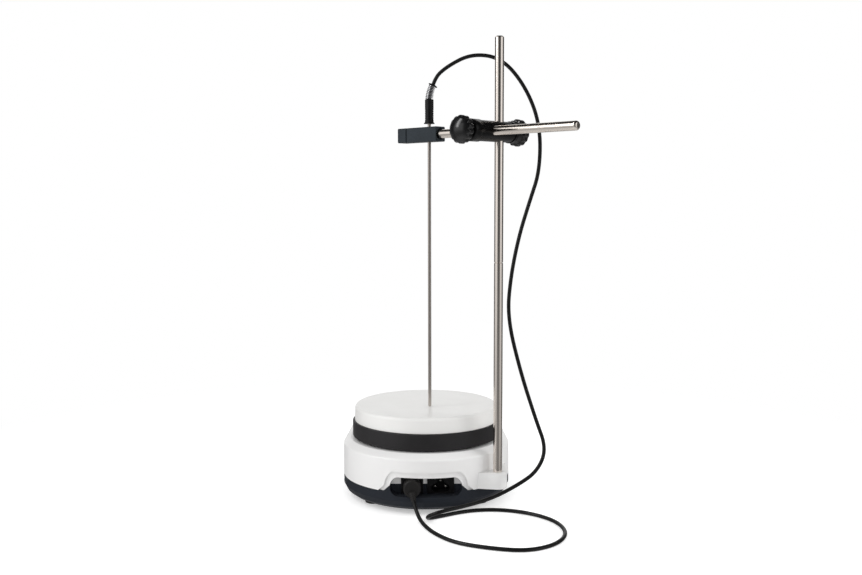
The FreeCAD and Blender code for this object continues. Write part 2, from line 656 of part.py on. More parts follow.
def make_heater_element():
    """The heating ring pressed to the underside of the plate."""
    low = PLATE_CEILING - HEATER_THICKNESS
    ring = tube(HEATER_RADIUS, HEATER_RADIUS / 3, low, PLATE_CEILING)
    groove = tube(HEATER_RADIUS * 0.8, HEATER_RADIUS * 0.6, low - 1.0, low + 1.0)
    return ring.cut(groove)


def insulation_top():
    """The upper face of the insulation, just under the heater."""
    return PLATE_CEILING - HEATER_THICKNESS


def make_insulation_disc():
    """The insulation between heater and shield."""
    top = insulation_top()
    return with_post_holes(cylinder(INSULATION_RADIUS, top - INSULATION_THICKNESS, top), 0.0, PLATE_TOP)


def shield_bottom():
    """The lower face of the heat shield."""
    return insulation_top() - INSULATION_THICKNESS - SHIELD_THICKNESS


def make_heat_shield():
    """The steel disc under the insulation, with a turned-down rim."""
    low = shield_bottom()
    disc = cylinder(SHIELD_RADIUS, low, low + SHIELD_THICKNESS)
    rim = tube(SHIELD_RADIUS, SHIELD_RADIUS - SHIELD_THICKNESS, low - 3.0, low)
    return with_post_holes(disc.fuse(rim).removeSplitter(), 0.0, PLATE_TOP)


def make_plate_posts():
    """Four stepped posts from the tray's floor to the underside of the plate."""
    floor_z = TRAY_BOTTOM + TRAY_FLOOR
    posts = []
    for x, y in post_places():
        low = cylinder(POST_RADIUS + 1.5, floor_z, shield_bottom() - 0.0, x, y)
        high = cylinder(POST_RADIUS, shield_bottom(), PLATE_CEILING, x, y)
        posts.append(low.fuse(high).removeSplitter())
    return Part.makeCompound(posts)


def carrier_top():
    """The upper face of the magnet carrier, with the magnets standing on it."""
    return shield_bottom() - 3.0 - CARRIER_GAP - MAGNET_HEIGHT + 3.0


def make_magnet_carrier():
    """The spinning disc with two ears that carries the magnets."""
    top = carrier_top()
    low = top - CARRIER_THICKNESS
    arm = block((-CARRIER_RADIUS, CARRIER_RADIUS), (-MAGNET_WIDTH / 2 - 3, MAGNET_WIDTH / 2 + 3), (low, top))
    disc = cylinder(CARRIER_RADIUS * 0.55, low, top).fuse(arm.common(cylinder(CARRIER_RADIUS, low, top)))
    hub = cylinder(CARRIER_HUB_RADIUS, low - CARRIER_HUB_HEIGHT, low)
    bore = cylinder(SHAFT_RADIUS, 0.0, top - 1.0)
    return disc.fuse(hub).cut(bore).removeSplitter()


def make_drive_magnets():
    """Two block magnets, one at each end of the carrier."""
    top = carrier_top()
    half = MAGNET_WIDTH / 2
    magnets = []
    for side in (-1, 1):
        middle = side * MAGNET_OFFSET
        magnet = block((middle - MAGNET_LENGTH / 2, middle + MAGNET_LENGTH / 2), (-half, half),
                       (top, top + MAGNET_HEIGHT))
        magnets.append(magnet.makeChamfer(0.6, level_edges(magnet, top + MAGNET_HEIGHT)))
    return Part.makeCompound(magnets)


def motor_top():
    """The upper face of the motor's can."""
    return MOTOR_BASE + MOTOR_HEIGHT


def make_motor_shaft():
    """The motor shaft, from inside the can to the carrier."""
    return cylinder(SHAFT_RADIUS, MOTOR_BASE + 4.0, carrier_top() - 1.0)


def make_stir_motor():
    """The motor's can with its bearing cap, bored for the shaft."""
    can = cylinder(MOTOR_RADIUS, MOTOR_BASE, motor_top())
    can = can.makeFillet(2.0, level_edges(can, MOTOR_BASE))
    cap = cylinder(MOTOR_CAP_RADIUS, motor_top(), motor_top() + MOTOR_CAP_HEIGHT)
    bore = cylinder(SHAFT_RADIUS + SHAFT_CLEARANCE, MOTOR_BASE + 3.7, PLATE_TOP)
    return can.fuse(cap).cut(bore).removeSplitter()


def make_motor_bracket():
    """The cross-shaped bracket that hangs the motor between the four posts."""
    low = motor_top()
    high = low + BRACKET_THICKNESS
    reach = POST_CIRCLE + 8.0
    bracket = cylinder(MOTOR_RADIUS, low, high)
    for angle in post_angles():
        arm = block((0.0, reach), (-BRACKET_ARM_WIDTH / 2, BRACKET_ARM_WIDTH / 2), (low, high))
        arm.rotate(Vector(0, 0, 0), UP, math.degrees(angle))
        bracket = bracket.fuse(arm)
    bracket = bracket.cut(cylinder(MOTOR_CAP_RADIUS + FIT_CLEARANCE, 0.0, PLATE_TOP))
    for x, y in post_places():
        bracket = bracket.cut(cylinder(POST_RADIUS + 1.5, 0.0, PLATE_TOP, x, y))
    return bracket.removeSplitter()


def make_sensor_socket():
    """The square black socket that the probe's plug goes into."""
    x_low, x_high = SENSOR_SOCKET_X
    body = block((x_low, x_high), (SOCKET_FRONT_Y, SOCKET_FRONT_Y + SOCKET_DEPTH), (SCOOP_FLOOR_Z, SOCKET_TOP_Z))
    hole = Part.makeCylinder(PLUG_SHELL_RADIUS + FIT_CLEARANCE, PLUG_SHELL_LENGTH + 1.0,
                             Vector(PLUG_X, SOCKET_FRONT_Y - 0.5, PLUG_Z), Vector(0, 1, 0))
    return body.cut(hole)


def inlet_centre():
    """The middle of the mains inlet along X."""
    return (INLET_X[0] + INLET_X[1]) / 2


def pin_places():
    """The three pins of the inlet in the XZ plane: two below and one above, between them."""
    middle = inlet_centre() - 0.2
    half = PIN_SPACING / 2
    return [(middle - half, PIN_LOWER_Z), (middle + half, PIN_LOWER_Z), (middle, PIN_UPPER_Z)]


def make_mains_inlet():
    """The three-lobed mains inlet: a square body with a cloverleaf cavity."""
    body = block(INLET_X, (SOCKET_FRONT_Y, SOCKET_FRONT_Y + SOCKET_DEPTH), (SCOOP_FLOOR_Z, SOCKET_TOP_Z))
    cavity = None
    for x, z in pin_places():
        lobe = Part.makeCylinder(3.4, INLET_CAVITY_DEPTH, Vector(x, SOCKET_FRONT_Y - 0.5, z), Vector(0, 1, 0))
        cavity = lobe if cavity is None else cavity.fuse(lobe)
    middle = inlet_centre() - 0.2
    half = PIN_SPACING / 2
    web = block((middle - half, middle + half), (SOCKET_FRONT_Y - 0.5, SOCKET_FRONT_Y - 0.5 + INLET_CAVITY_DEPTH),
                (PIN_LOWER_Z - 3.4, PIN_UPPER_Z - 0.6))
    body = body.cut(cavity.fuse(web))
    for x, z in pin_places():
        body = body.cut(Part.makeCylinder(PIN_RADIUS, SOCKET_DEPTH + 2.0, Vector(x, SOCKET_FRONT_Y - 1.0, z),
                                          Vector(0, 1, 0)))
    return body.removeSplitter()


def make_mains_pins():
    """The three round pins of the inlet, with domed tips."""
    pins = []
    back = SOCKET_FRONT_Y + SOCKET_DEPTH
    for x, z in pin_places():
        tip = back - 3.0 - PIN_LENGTH
        pin = Part.makeCylinder(PIN_RADIUS, back - tip, Vector(x, tip, z), Vector(0, 1, 0))
        front = [e for e in pin.Edges if abs(e.BoundBox.YMin - tip) < 1e-4 and abs(e.BoundBox.YMax - tip) < 1e-4]
        pins.append(pin.makeFillet(PIN_RADIUS * 0.6, front))
    return Part.makeCompound(pins)


def make_control_panel():
    """The fascia on the slope, with its openings."""
    panel = rounded_plate(PANEL_WIDTH, PANEL_DEPTH, PANEL_CORNER, PANEL_PROUD - PANEL_THICKNESS, PANEL_PROUD)
    window = rounded_plate(WINDOW_WIDTH + 2 * FIT_CLEARANCE, WINDOW_DEPTH + 2 * FIT_CLEARANCE, 2.0, -5.0, 5.0)
    window.translate(Vector(0, WINDOW_OFFSET, 0))
    panel = panel.cut(window)
    for x in (-KNOB_OFFSET_X, KNOB_OFFSET_X):
        panel = panel.cut(cylinder(BUSH_RADIUS + FIT_CLEARANCE, -5.0, 5.0, x))
    rocker = rocker_body_block(FIT_CLEARANCE, -5.0, 5.0)
    rocker.translate(Vector(0, ROCKER_OFFSET, 0))
    return on_panel(panel.cut(rocker))


def make_display_window():
    """The display's window, set in the fascia."""
    low = PANEL_PROUD - PANEL_THICKNESS
    window = rounded_plate(WINDOW_WIDTH, WINDOW_DEPTH, 1.8, low, low + PANEL_THICKNESS + WINDOW_THICKNESS / 2)
    return on_panel(window, 0.0, WINDOW_OFFSET)


def make_knob(x):
    """A fluted knob with a skirt, hollow underneath round its shaft."""
    low = PANEL_PROUD + KNOB_GAP
    skirt_top = low + KNOB_SKIRT_HEIGHT
    body = Part.makeCone(KNOB_RADIUS, KNOB_TOP_RADIUS, KNOB_HEIGHT - KNOB_SKIRT_HEIGHT, Vector(0, 0, skirt_top))
    body = body.makeFillet(1.2, level_edges(body, low + KNOB_HEIGHT))
    for k in range(KNOB_FLUTES):
        angle = 2 * math.pi * k / KNOB_FLUTES
        place = KNOB_RADIUS + 0.1
        flute = cylinder(KNOB_FLUTE_RADIUS, skirt_top + 0.8, low + KNOB_HEIGHT + 1.0, place * math.cos(angle),
                         place * math.sin(angle))
        body = body.cut(flute)
    skirt = Part.makeCone(KNOB_SKIRT_RADIUS, KNOB_RADIUS, KNOB_SKIRT_HEIGHT, Vector(0, 0, low))
    knob = body.fuse(skirt)
    knob = knob.cut(cylinder(BUSH_RADIUS + 1.5, low - 1.0, low + 5.0))
    pointer = block((-0.6, 0.6), (-KNOB_TOP_RADIUS + 1.0, -KNOB_TOP_RADIUS / 2), (low + KNOB_HEIGHT - 0.6, 50.0))
    knob = knob.cut(pointer).cut(cylinder(KNOB_SHAFT_RADIUS, low - 1.0, low + KNOB_HEIGHT - 2.0))
    return on_panel(knob.removeSplitter(), x)


def make_knob_shaft(x):
    """The encoder shaft that carries a knob."""
    top = PANEL_PROUD + KNOB_GAP + KNOB_HEIGHT - 2.0
    return on_panel(cylinder(KNOB_SHAFT_RADIUS, encoder_low() + 2.0, top), x)


def encoder_low():
    """The lower face of the encoders, on the control board."""
    return -CONTROL_BOARD_DEPTH


def make_knob_encoders():
    """The two encoder bodies with their threaded bushes."""
    encoders = []
    low = encoder_low()
    half = ENCODER_WIDTH / 2
    for x in (-KNOB_OFFSET_X, KNOB_OFFSET_X):
        body = block((-half, half), (-half, half), (low, low + ENCODER_HEIGHT))
        bush = cylinder(BUSH_RADIUS, low + ENCODER_HEIGHT, PANEL_PROUD)
        bore = cylinder(KNOB_SHAFT_RADIUS + SHAFT_CLEARANCE, low + 2.0, 5.0)
        encoders.append(on_panel(body.fuse(bush).cut(bore).removeSplitter(), x))
    return Part.makeCompound(encoders)


def make_control_board():
    """The board under the panel that carries the encoders."""
    width, depth = CONTROL_BOARD
    top = encoder_low()
    board = block((-width / 2, width / 2), (-depth / 2, depth / 2), (top - BOARD_THICKNESS, top))
    gap = rocker_body_block(BOARD_GAP, top - 2 * BOARD_THICKNESS, top + BOARD_THICKNESS)
    gap.translate(Vector(0, ROCKER_OFFSET, 0))
    return on_panel(board.cut(gap))


def make_power_board():
    """The power board on stand-offs over the tray's floor, with its transformer and capacitors."""
    width, depth = POWER_BOARD
    floor_z = TRAY_BOTTOM + TRAY_FLOOR
    low = floor_z + BOARD_STANDOFF
    top = low + BOARD_THICKNESS
    y_low = POWER_BOARD_Y - depth / 2
    board = block((-width / 2, width / 2), (y_low, y_low + depth), (low, top))
    for x in (-width / 2 + STANDOFF_INSET, width / 2 - STANDOFF_INSET):
        for y in (y_low + STANDOFF_INSET, y_low + depth - STANDOFF_INSET):
            board = board.fuse(cylinder(STANDOFF_RADIUS, floor_z, low, x, y))
    long_side, short_side, tall = TRANSFORMER
    x_low, inset = TRANSFORMER_CORNER
    board = board.fuse(block((x_low, x_low + long_side), (y_low + inset, y_low + inset + short_side),
                             (top, top + tall)))
    for x in CAPACITOR_PLACES_X:
        board = board.fuse(cylinder(CAPACITOR_RADIUS, top, top + CAPACITOR_HEIGHT, x, y_low + CAPACITOR_INSET))
    return board.removeSplitter()


def make_switch_body():
    """The switch's frame on the panel and its body behind it."""
    half_x = ROCKER_WIDTH / 2
    half_y = ROCKER_DEPTH / 2
    frame = rounded_plate(ROCKER_WIDTH + 2 * ROCKER_FRAME, ROCKER_DEPTH + 2 * ROCKER_FRAME, 1.0, PANEL_PROUD,
                          PANEL_PROUD + ROCKER_FRAME_HEIGHT)
    body = block((-half_x, half_x), (-half_y, half_y), (-ROCKER_BODY_DEPTH, PANEL_PROUD))
    well = block((-half_x + 1.0, half_x - 1.0), (-half_y + 1.0, half_y - 1.0), (-5.0, 5.0))
    return on_panel(frame.fuse(body).cut(well).removeSplitter(), 0.0, ROCKER_OFFSET)


def make_power_switch():
    """The rocker: a shallow V seen from the side, standing at OFF."""
    half_x = ROCKER_WIDTH / 2 - 1.0 - ROCKER_CLEARANCE
    half_y = ROCKER_DEPTH / 2 - 1.0 - ROCKER_CLEARANCE
    top = PANEL_PROUD + ROCKER_FRAME_HEIGHT
    side = math.tan(math.radians(ROCKER_TILT)) * half_x
    points = [(-half_x + 0.6, -1.2), (half_x - 0.6, -1.2), (half_x - 0.2, top + side), (0.0, top - 0.2),
              (-half_x + 0.2, top + side)]
    wire = Part.makePolygon([Vector(x, -half_y, z) for x, z in points + points[:1]])
    rocker = Part.Face(wire).extrude(Vector(0, 2 * half_y, 0))
    rocker.rotate(Vector(0, 0, 0), Vector(0, 1, 0), ROCKER_TILT)
    return on_panel(rocker, 0.0, ROCKER_OFFSET)


def make_rod_insert():
    """The threaded brass insert in the foot boss."""
    top = FOOT_BOSS_TOP - INSERT_DEPTH - FIT_CLEARANCE
    return tube(INSERT_RADIUS, ROD_RADIUS + ROD_FIT, ROD_BOTTOM_Z, top, ROD_X, ROD_Y)


def make_lower_rod():
    """The lower half of the support rod, tapped at its top end."""
    rod = cylinder(ROD_RADIUS, ROD_BOTTOM_Z, ROD_JOINT_Z - ROD_JOINT_GROOVE, ROD_X, ROD_Y)
    rod = rod.makeChamfer(ROD_JOINT_GROOVE, level_edges(rod, ROD_JOINT_Z - ROD_JOINT_GROOVE))
    hole_low = ROD_JOINT_Z - STUD_LENGTH - 2.0
    return rod.cut(cylinder(STUD_RADIUS + STUD_CLEARANCE, hole_low, ROD_JOINT_Z, ROD_X, ROD_Y))


def make_upper_rod():
    """The upper half of the support rod, with the stud that screws into the lower half."""
    rod = cylinder(ROD_RADIUS, ROD_JOINT_Z, ROD_TOP_Z, ROD_X, ROD_Y)
    rod = rod.makeChamfer(ROD_CHAMFER, level_edges(rod, ROD_TOP_Z))
    rod = rod.makeChamfer(ROD_JOINT_GROOVE, level_edges(rod, ROD_JOINT_Z))
    stud = cylinder(STUD_RADIUS, ROD_JOINT_Z - STUD_LENGTH, ROD_JOINT_Z, ROD_X, ROD_Y)
    return rod.fuse(stud).removeSplitter()


def on_clamp(shape):
    """Moves a shape from the clamp's own frame, where X runs along the bar and Y along the cross rod."""
    placed = shape.copy()
    placed.rotate(Vector(0, 0, 0), UP, 180.0 + CLAMP_ANGLE)
    placed.translate(Vector(ROD_X, ROD_Y, CLAMP_Z))
    return placed


def bar_cylinder(radius, start, end):
    """A cylinder along the clamp's bar."""
    return Part.makeCylinder(radius, end - start, Vector(start, 0, 0), Vector(1, 0, 0))


def cross_cylinder(radius, start, end):
    """A cylinder along the cross rod, where positive distances run to the probe holder."""
    return Part.makeCylinder(radius, end - start, Vector(CLAMP_PITCH, -end, 0), Vector(0, 1, 0))


def make_boss_head():
    """The clamp's bar: two bores at right angles, an end ring at each screw."""
    bar = bar_cylinder(BAR_RADIUS, -BAR_ROD_END, BAR_CROSS_END)
    rings = bar_cylinder(BAR_RING_RADIUS, -BAR_ROD_END, -BAR_ROD_END + BAR_RING_WIDTH)
    rings = rings.fuse(bar_cylinder(BAR_RING_RADIUS, BAR_CROSS_END - BAR_RING_WIDTH, BAR_CROSS_END))
    ends = (-BAR_ROD_END, BAR_CROSS_END)
    bar = bar.fuse(rings).removeSplitter()
    rims = []
    for edge in bar.Edges:
        box = edge.BoundBox
        if any(abs(box.XMin - x) < 1e-4 and abs(box.XMax - x) < 1e-4 for x in ends):
            rims.append(edge)
    bar = bar.makeChamfer(BAR_CHAMFER, rims)
    reach = 2 * BAR_RADIUS
    bar = bar.cut(Part.makeCylinder(ROD_RADIUS + ROD_FIT, 2 * reach, Vector(0, 0, -reach)))
    bar = bar.cut(cross_cylinder(CROSS_ROD_RADIUS + ROD_FIT, -reach, reach))
    screw_hole = CLAMP_SCREW_RADIUS + ROD_FIT
    bar = bar.cut(bar_cylinder(screw_hole, -BAR_ROD_END - 1.0, 0.0))
    bar = bar.cut(bar_cylinder(screw_hole, CLAMP_PITCH, BAR_CROSS_END + 1.0))
    return on_clamp(bar)


def star_knob():
    """A star knob on its screw's axis, pointing along +X from the bar's end at X 0."""
    hub_start = STAR_GAP
    star_start = hub_start + STAR_HUB_LENGTH
    dome_start = star_start + STAR_THICKNESS
    hub = Part.makeCone(STAR_HUB_RADIUS, STAR_DOME_RADIUS, STAR_HUB_LENGTH, Vector(hub_start, 0, 0), Vector(1, 0, 0))
    star = bar_cylinder(STAR_RADIUS, star_start, dome_start)
    rims = [e for e in star.Edges if e.BoundBox.XLength < 1e-4]
    star = star.makeFillet(1.4, rims)
    for k in range(STAR_LOBES):
        angle = 2 * math.pi * k / STAR_LOBES
        notch = Part.makeCylinder(STAR_NOTCH_RADIUS, STAR_THICKNESS + 2, Vector(star_start - 1, 0, 0), Vector(1, 0, 0))
        notch.translate(Vector(0, (STAR_RADIUS + 0.4) * math.cos(angle), (STAR_RADIUS + 0.4) * math.sin(angle)))
        star = star.cut(notch)
    ball = (STAR_DOME_RADIUS ** 2 + STAR_DOME_HEIGHT ** 2) / (2 * STAR_DOME_HEIGHT)
    dome = Part.makeSphere(ball, Vector(dome_start + STAR_DOME_HEIGHT - ball, 0, 0))
    dome = dome.common(bar_cylinder(ball, dome_start - 1.0, dome_start + ball))
    return hub.fuse([star, dome]).removeSplitter()


def clamp_end(shape, rod_side):
    """Moves a knob or screw from X 0 to the bar's rod end, turned round, or to its cross rod end."""
    placed = shape.copy()
    if rod_side:
        placed.rotate(Vector(0, 0, 0), UP, 180.0)
        placed.translate(Vector(-BAR_ROD_END, 0, 0))
    else:
        placed.translate(Vector(BAR_CROSS_END, 0, 0))
    return on_clamp(placed)


def make_clamp_knob(rod_side):
    """A star knob, bored for its screw."""
    depth = STAR_GAP + STAR_HUB_LENGTH + STAR_THICKNESS
    return clamp_end(star_knob().cut(bar_cylinder(CLAMP_SCREW_RADIUS, -1.0, depth)), rod_side)


def make_clamp_screw(rod_side):
    """The screw of a star knob, whose tip stops just short of the rod that it clamps."""
    inside = BAR_ROD_END - ROD_RADIUS if rod_side else BAR_CROSS_END - CLAMP_PITCH - CROSS_ROD_RADIUS
    depth = STAR_GAP + STAR_HUB_LENGTH + STAR_THICKNESS
    screw = bar_cylinder(CLAMP_SCREW_RADIUS, -inside + CLAMP_SCREW_GAP, depth)
    tip = [e for e in screw.Edges if abs(e.BoundBox.XMax + inside - CLAMP_SCREW_GAP) < 1e-4]
    return clamp_end(screw.makeChamfer(0.5, tip), rod_side)


def make_cross_rod():
    """The bright cross rod with a domed free end."""
    rod = cross_cylinder(CROSS_ROD_RADIUS, -CROSS_ROD_END, HOLDER_START + HOLDER_SOCKET_DEPTH)
    free = [e for e in rod.Edges if abs(e.BoundBox.YMin - CROSS_ROD_END) < 1e-4 and e.BoundBox.YLength < 1e-4]
    return on_clamp(rod.makeFillet(CROSS_ROD_DOME, free))


def along_cross(start, end, half_width, half_height):
    """A box along the cross rod."""
    return block((CLAMP_PITCH - half_width, CLAMP_PITCH + half_width), (-end, -start), (-half_height, half_height))


def long_edges(shape):
    """The edges of a box that run along the cross rod."""
    return [e for e in shape.Edges if e.BoundBox.XLength < 1e-4 and e.BoundBox.ZLength < 1e-4]


def probe_bore(radius):
    """The upright bore for the probe, in the clamp's frame."""
    return Part.makeCylinder(radius, 4 * HOLDER_HEIGHT, Vector(CLAMP_PITCH, -PROBE_OFFSET, -2 * HOLDER_HEIGHT))


def tongue(clearance):
    """The tongue of the end cap that slides into the holder."""
    root = HOLDER_START + HOLDER_LENGTH + HOLDER_SLOT
    half_width = HOLDER_WIDTH / 2 - 3.0 + clearance
    half_height = HOLDER_HEIGHT / 2 - 3.5 + clearance
    return along_cross(root - HOLDER_SLOT - CAP_TONGUE - clearance, root, half_width, half_height)


def make_probe_holder():
    """The block that grips the cross rod at one end and the probe near its middle."""
    end = HOLDER_START + HOLDER_LENGTH
    holder = along_cross(HOLDER_START, end, HOLDER_WIDTH / 2, HOLDER_HEIGHT / 2)
    holder = holder.makeChamfer(HOLDER_CHAMFER, long_edges(holder))
    relief = cross_cylinder(CROSS_ROD_RADIUS + HOLDER_SOCKET_RELIEF, HOLDER_START - 1.0, HOLDER_START + 2.0)
    holder = holder.cut(relief)
    holder = holder.cut(cross_cylinder(CROSS_ROD_RADIUS, HOLDER_START - 1.0, HOLDER_START + HOLDER_SOCKET_DEPTH))
    holder = holder.cut(probe_bore(PROBE_RADIUS + PROBE_FIT))
    return on_clamp(holder.cut(tongue(FIT_CLEARANCE)))


def make_holder_cap():
    """The end cap, parted from the holder by a narrow slot, with its tongue inside it."""
    start = HOLDER_START + HOLDER_LENGTH + HOLDER_SLOT
    cap = along_cross(start, start + CAP_LENGTH, HOLDER_WIDTH / 2, HOLDER_HEIGHT / 2)
    cap = cap.makeChamfer(HOLDER_CHAMFER, long_edges(cap))
    return on_clamp(cap.fuse(tongue(0.0)).removeSplitter())


def probe_place():
    """The probe's axis in plan."""
    angle = math.radians(180.0 + CLAMP_ANGLE)
    x = CLAMP_PITCH
    y = -PROBE_OFFSET
    return (ROD_X + x * math.cos(angle) - y * math.sin(angle), ROD_Y + x * math.sin(angle) + y * math.cos(angle))


def make_probe_sheath():
    """The steel sheath with a round tip."""
    x, y = probe_place()
    low = PLATE_TOP + PROBE_TIP_GAP
    sheath = cylinder(PROBE_RADIUS, low, FLANGE_BOTTOM_Z + 6.0, x, y)
    return sheath.makeFillet(PROBE_RADIUS * 0.8, level_edges(sheath, low))


def make_handle_flange():
    """The flange at the foot of the handle."""
    x, y = probe_place()
    top = FLANGE_BOTTOM_Z + FLANGE_HEIGHT
    flange = Part.makeCone(FLANGE_RADIUS, HANDLE_RADIUS, FLANGE_HEIGHT, Vector(x, y, FLANGE_BOTTOM_Z))
    return flange.cut(cylinder(PROBE_RADIUS, FLANGE_BOTTOM_Z, top, x, y))


def make_probe_handle():
    """The ribbed handle on top of the flange."""
    x, y = probe_place()
    low = FLANGE_BOTTOM_Z + FLANGE_HEIGHT
    handle = cylinder(HANDLE_RADIUS, low, HANDLE_TOP_Z, x, y)
    step = (HANDLE_TOP_Z - low) / (2 * HANDLE_RIBS)
    for k in range(HANDLE_RIBS):
        height = low + step * (k + 1)
        groove = tube(HANDLE_RADIUS + 1.0, HANDLE_RADIUS - HANDLE_RIB_DEPTH, height, height + step / 3, x, y)
        handle = handle.cut(groove)
    handle = handle.makeChamfer(0.4, level_edges(handle, HANDLE_TOP_Z))
    return handle.cut(cylinder(PROBE_RADIUS, low, FLANGE_BOTTOM_Z + 6.0, x, y))


def lean_direction():
    """The direction in which the cord leaves the handle."""
    angle = math.radians(SPRING_LEAN)
    return Vector(math.sin(angle), 0, math.cos(angle))


def on_lean(shape):
    """Moves an upright shape from the origin to the top of the handle, leaning with the cord."""
    x, y = probe_place()
    placed = shape.copy()
    placed.rotate(Vector(0, 0, 0), Vector(0, 1, 0), SPRING_LEAN)
    placed.translate(Vector(x, y, HANDLE_TOP_Z))
    return placed


def make_relief_spring():
    """The coil spring round the cord where it leaves the handle."""
    start = 1.1
    helix = Part.makeHelix((SPRING_LENGTH - start) / SPRING_TURNS, SPRING_LENGTH - start, SPRING_RADIUS)
    helix.translate(Vector(0, 0, start))
    section = Part.Wire(Part.makeCircle(SPRING_WIRE, Vector(SPRING_RADIUS, 0, start), Vector(0, 1, 0)))
    coil = Part.Wire(helix.Edges).makePipeShell([section], True, True)
    return on_lean(coil)


def make_relief_collar():
    """The small disc at the top of the spring."""
    low = SPRING_LENGTH + SPRING_WIRE
    ring = tube(RELIEF_COLLAR_RADIUS, CORD_RADIUS + CORD_CLEARANCE, low, low + RELIEF_COLLAR_HEIGHT)
    return on_lean(ring)


def cord_tube(points, radius):
    """A tube along straight runs joined by tangent arcs. Each arc is as large as its two runs allow."""
    path = [Vector(*p) for p in points]
    edges = []
    radii = []
    start = path[0]
    for k in range(1, len(path) - 1):
        before = path[k - 1].sub(path[k])
        after = path[k + 1].sub(path[k])
        turn = math.pi - before.getAngle(after)
        along = 0.45 * min(before.Length, after.Length)
        radii.append(along / math.tan(turn / 2))
        before.normalize()
        after.normalize()
        entry = path[k].add(before * along)
        leave = path[k].add(after * along)
        inward = before.add(after)
        inward.normalize()
        depth = radii[-1] / math.cos(turn / 2) - radii[-1]
        edges.append(Part.LineSegment(start, entry).toShape())
        edges.append(Part.Arc(entry, path[k].add(inward * depth), leave).toShape())
        start = leave
    edges.append(Part.LineSegment(start, path[-1]).toShape())
    wire = Part.Wire(edges)
    first = path[1].sub(path[0])
    section = Part.Wire(Part.makeCircle(radius, path[0], first))
    solid = wire.makePipeShell([section], True, True)
    expected = math.pi * radius ** 2 * wire.Length
    print("cord length", round(wire.Length, 1), "volume ratio", round(solid.Volume / expected, 4))
    print("cord radii", [round(r, 1) for r in radii])
    return solid


def boot_direction():
    """The direction in which the cord leaves the plug: forwards, down and a little to the right."""
    angle = math.radians(BOOT_ANGLE)
    turn = math.radians(BOOT_TURN)
    return Vector(math.cos(angle) * math.sin(turn), -math.cos(angle) * math.cos(turn), -math.sin(angle))


def boot_start():
    """Where the boot leaves the middle of the plug's body."""
    return Vector(PLUG_X, PLUG_FRONT_Y + PLUG_RADIUS * 0.13, PLUG_Z - PLUG_RADIUS * 0.45)


def boot_end():
    """The open end of the boot."""
    return boot_start().add(boot_direction() * BOOT_LENGTH)


def make_plug():
    """The round plug body, with the shell that enters the socket."""
    length = SOCKET_FRONT_Y - PLUG_FRONT_Y - FIT_CLEARANCE
    body = Part.makeCylinder(PLUG_RADIUS, length, Vector(PLUG_X, PLUG_FRONT_Y, PLUG_Z), Vector(0, 1, 0))
    front = [e for e in body.Edges if abs(e.BoundBox.YMax - PLUG_FRONT_Y) < 1e-4]
    body = body.makeFillet(PLUG_FILLET, front)
    shell = Part.makeCylinder(PLUG_SHELL_RADIUS, PLUG_SHELL_LENGTH,
                              Vector(PLUG_X, SOCKET_FRONT_Y - FIT_CLEARANCE, PLUG_Z), Vector(0, 1, 0))
    recess = Part.makeCone(BOOT_START_RADIUS, BOOT_END_RADIUS, BOOT_LENGTH, boot_start(), boot_direction())
    floor = block((PLUG_X - 20, PLUG_X + 20), (-100.0, SOCKET_FRONT_Y), (0.0, SCOOP_FLOOR_Z + FIT_CLEARANCE))
    return body.fuse(shell).cut(recess).cut(floor).removeSplitter()


def make_plug_boot():
    """The tapered boot that turns the cord down."""
    boot = Part.makeCone(BOOT_START_RADIUS, BOOT_END_RADIUS, BOOT_LENGTH, boot_start(), boot_direction())
    return boot


def make_cord_upper():
    """The cord from the handle over the top, to the level just under the clamp."""
    x, y = probe_place()
    start = Vector(x, y, HANDLE_TOP_Z)
    second = start.add(lean_direction() * (SPRING_LENGTH + 6.0))
    last = CORD_UPPER[-1]
    end = (last[0], last[1], CORD_SPLIT_Z + CORD_CLEARANCE)
    return cord_tube([tuple(start), tuple(second)] + CORD_UPPER + [end], CORD_RADIUS)


def make_cord_lower():
    """The cord from under the clamp down to the bench, round its loop and up to the plug."""
    first = CORD_LOWER[0]
    top = (first[0], first[1], CORD_SPLIT_Z)
    end = boot_end()
    before = end.add(boot_direction() * BOOT_LENGTH)
    return cord_tube([top] + CORD_LOWER + [tuple(before), tuple(end)], CORD_RADIUS)


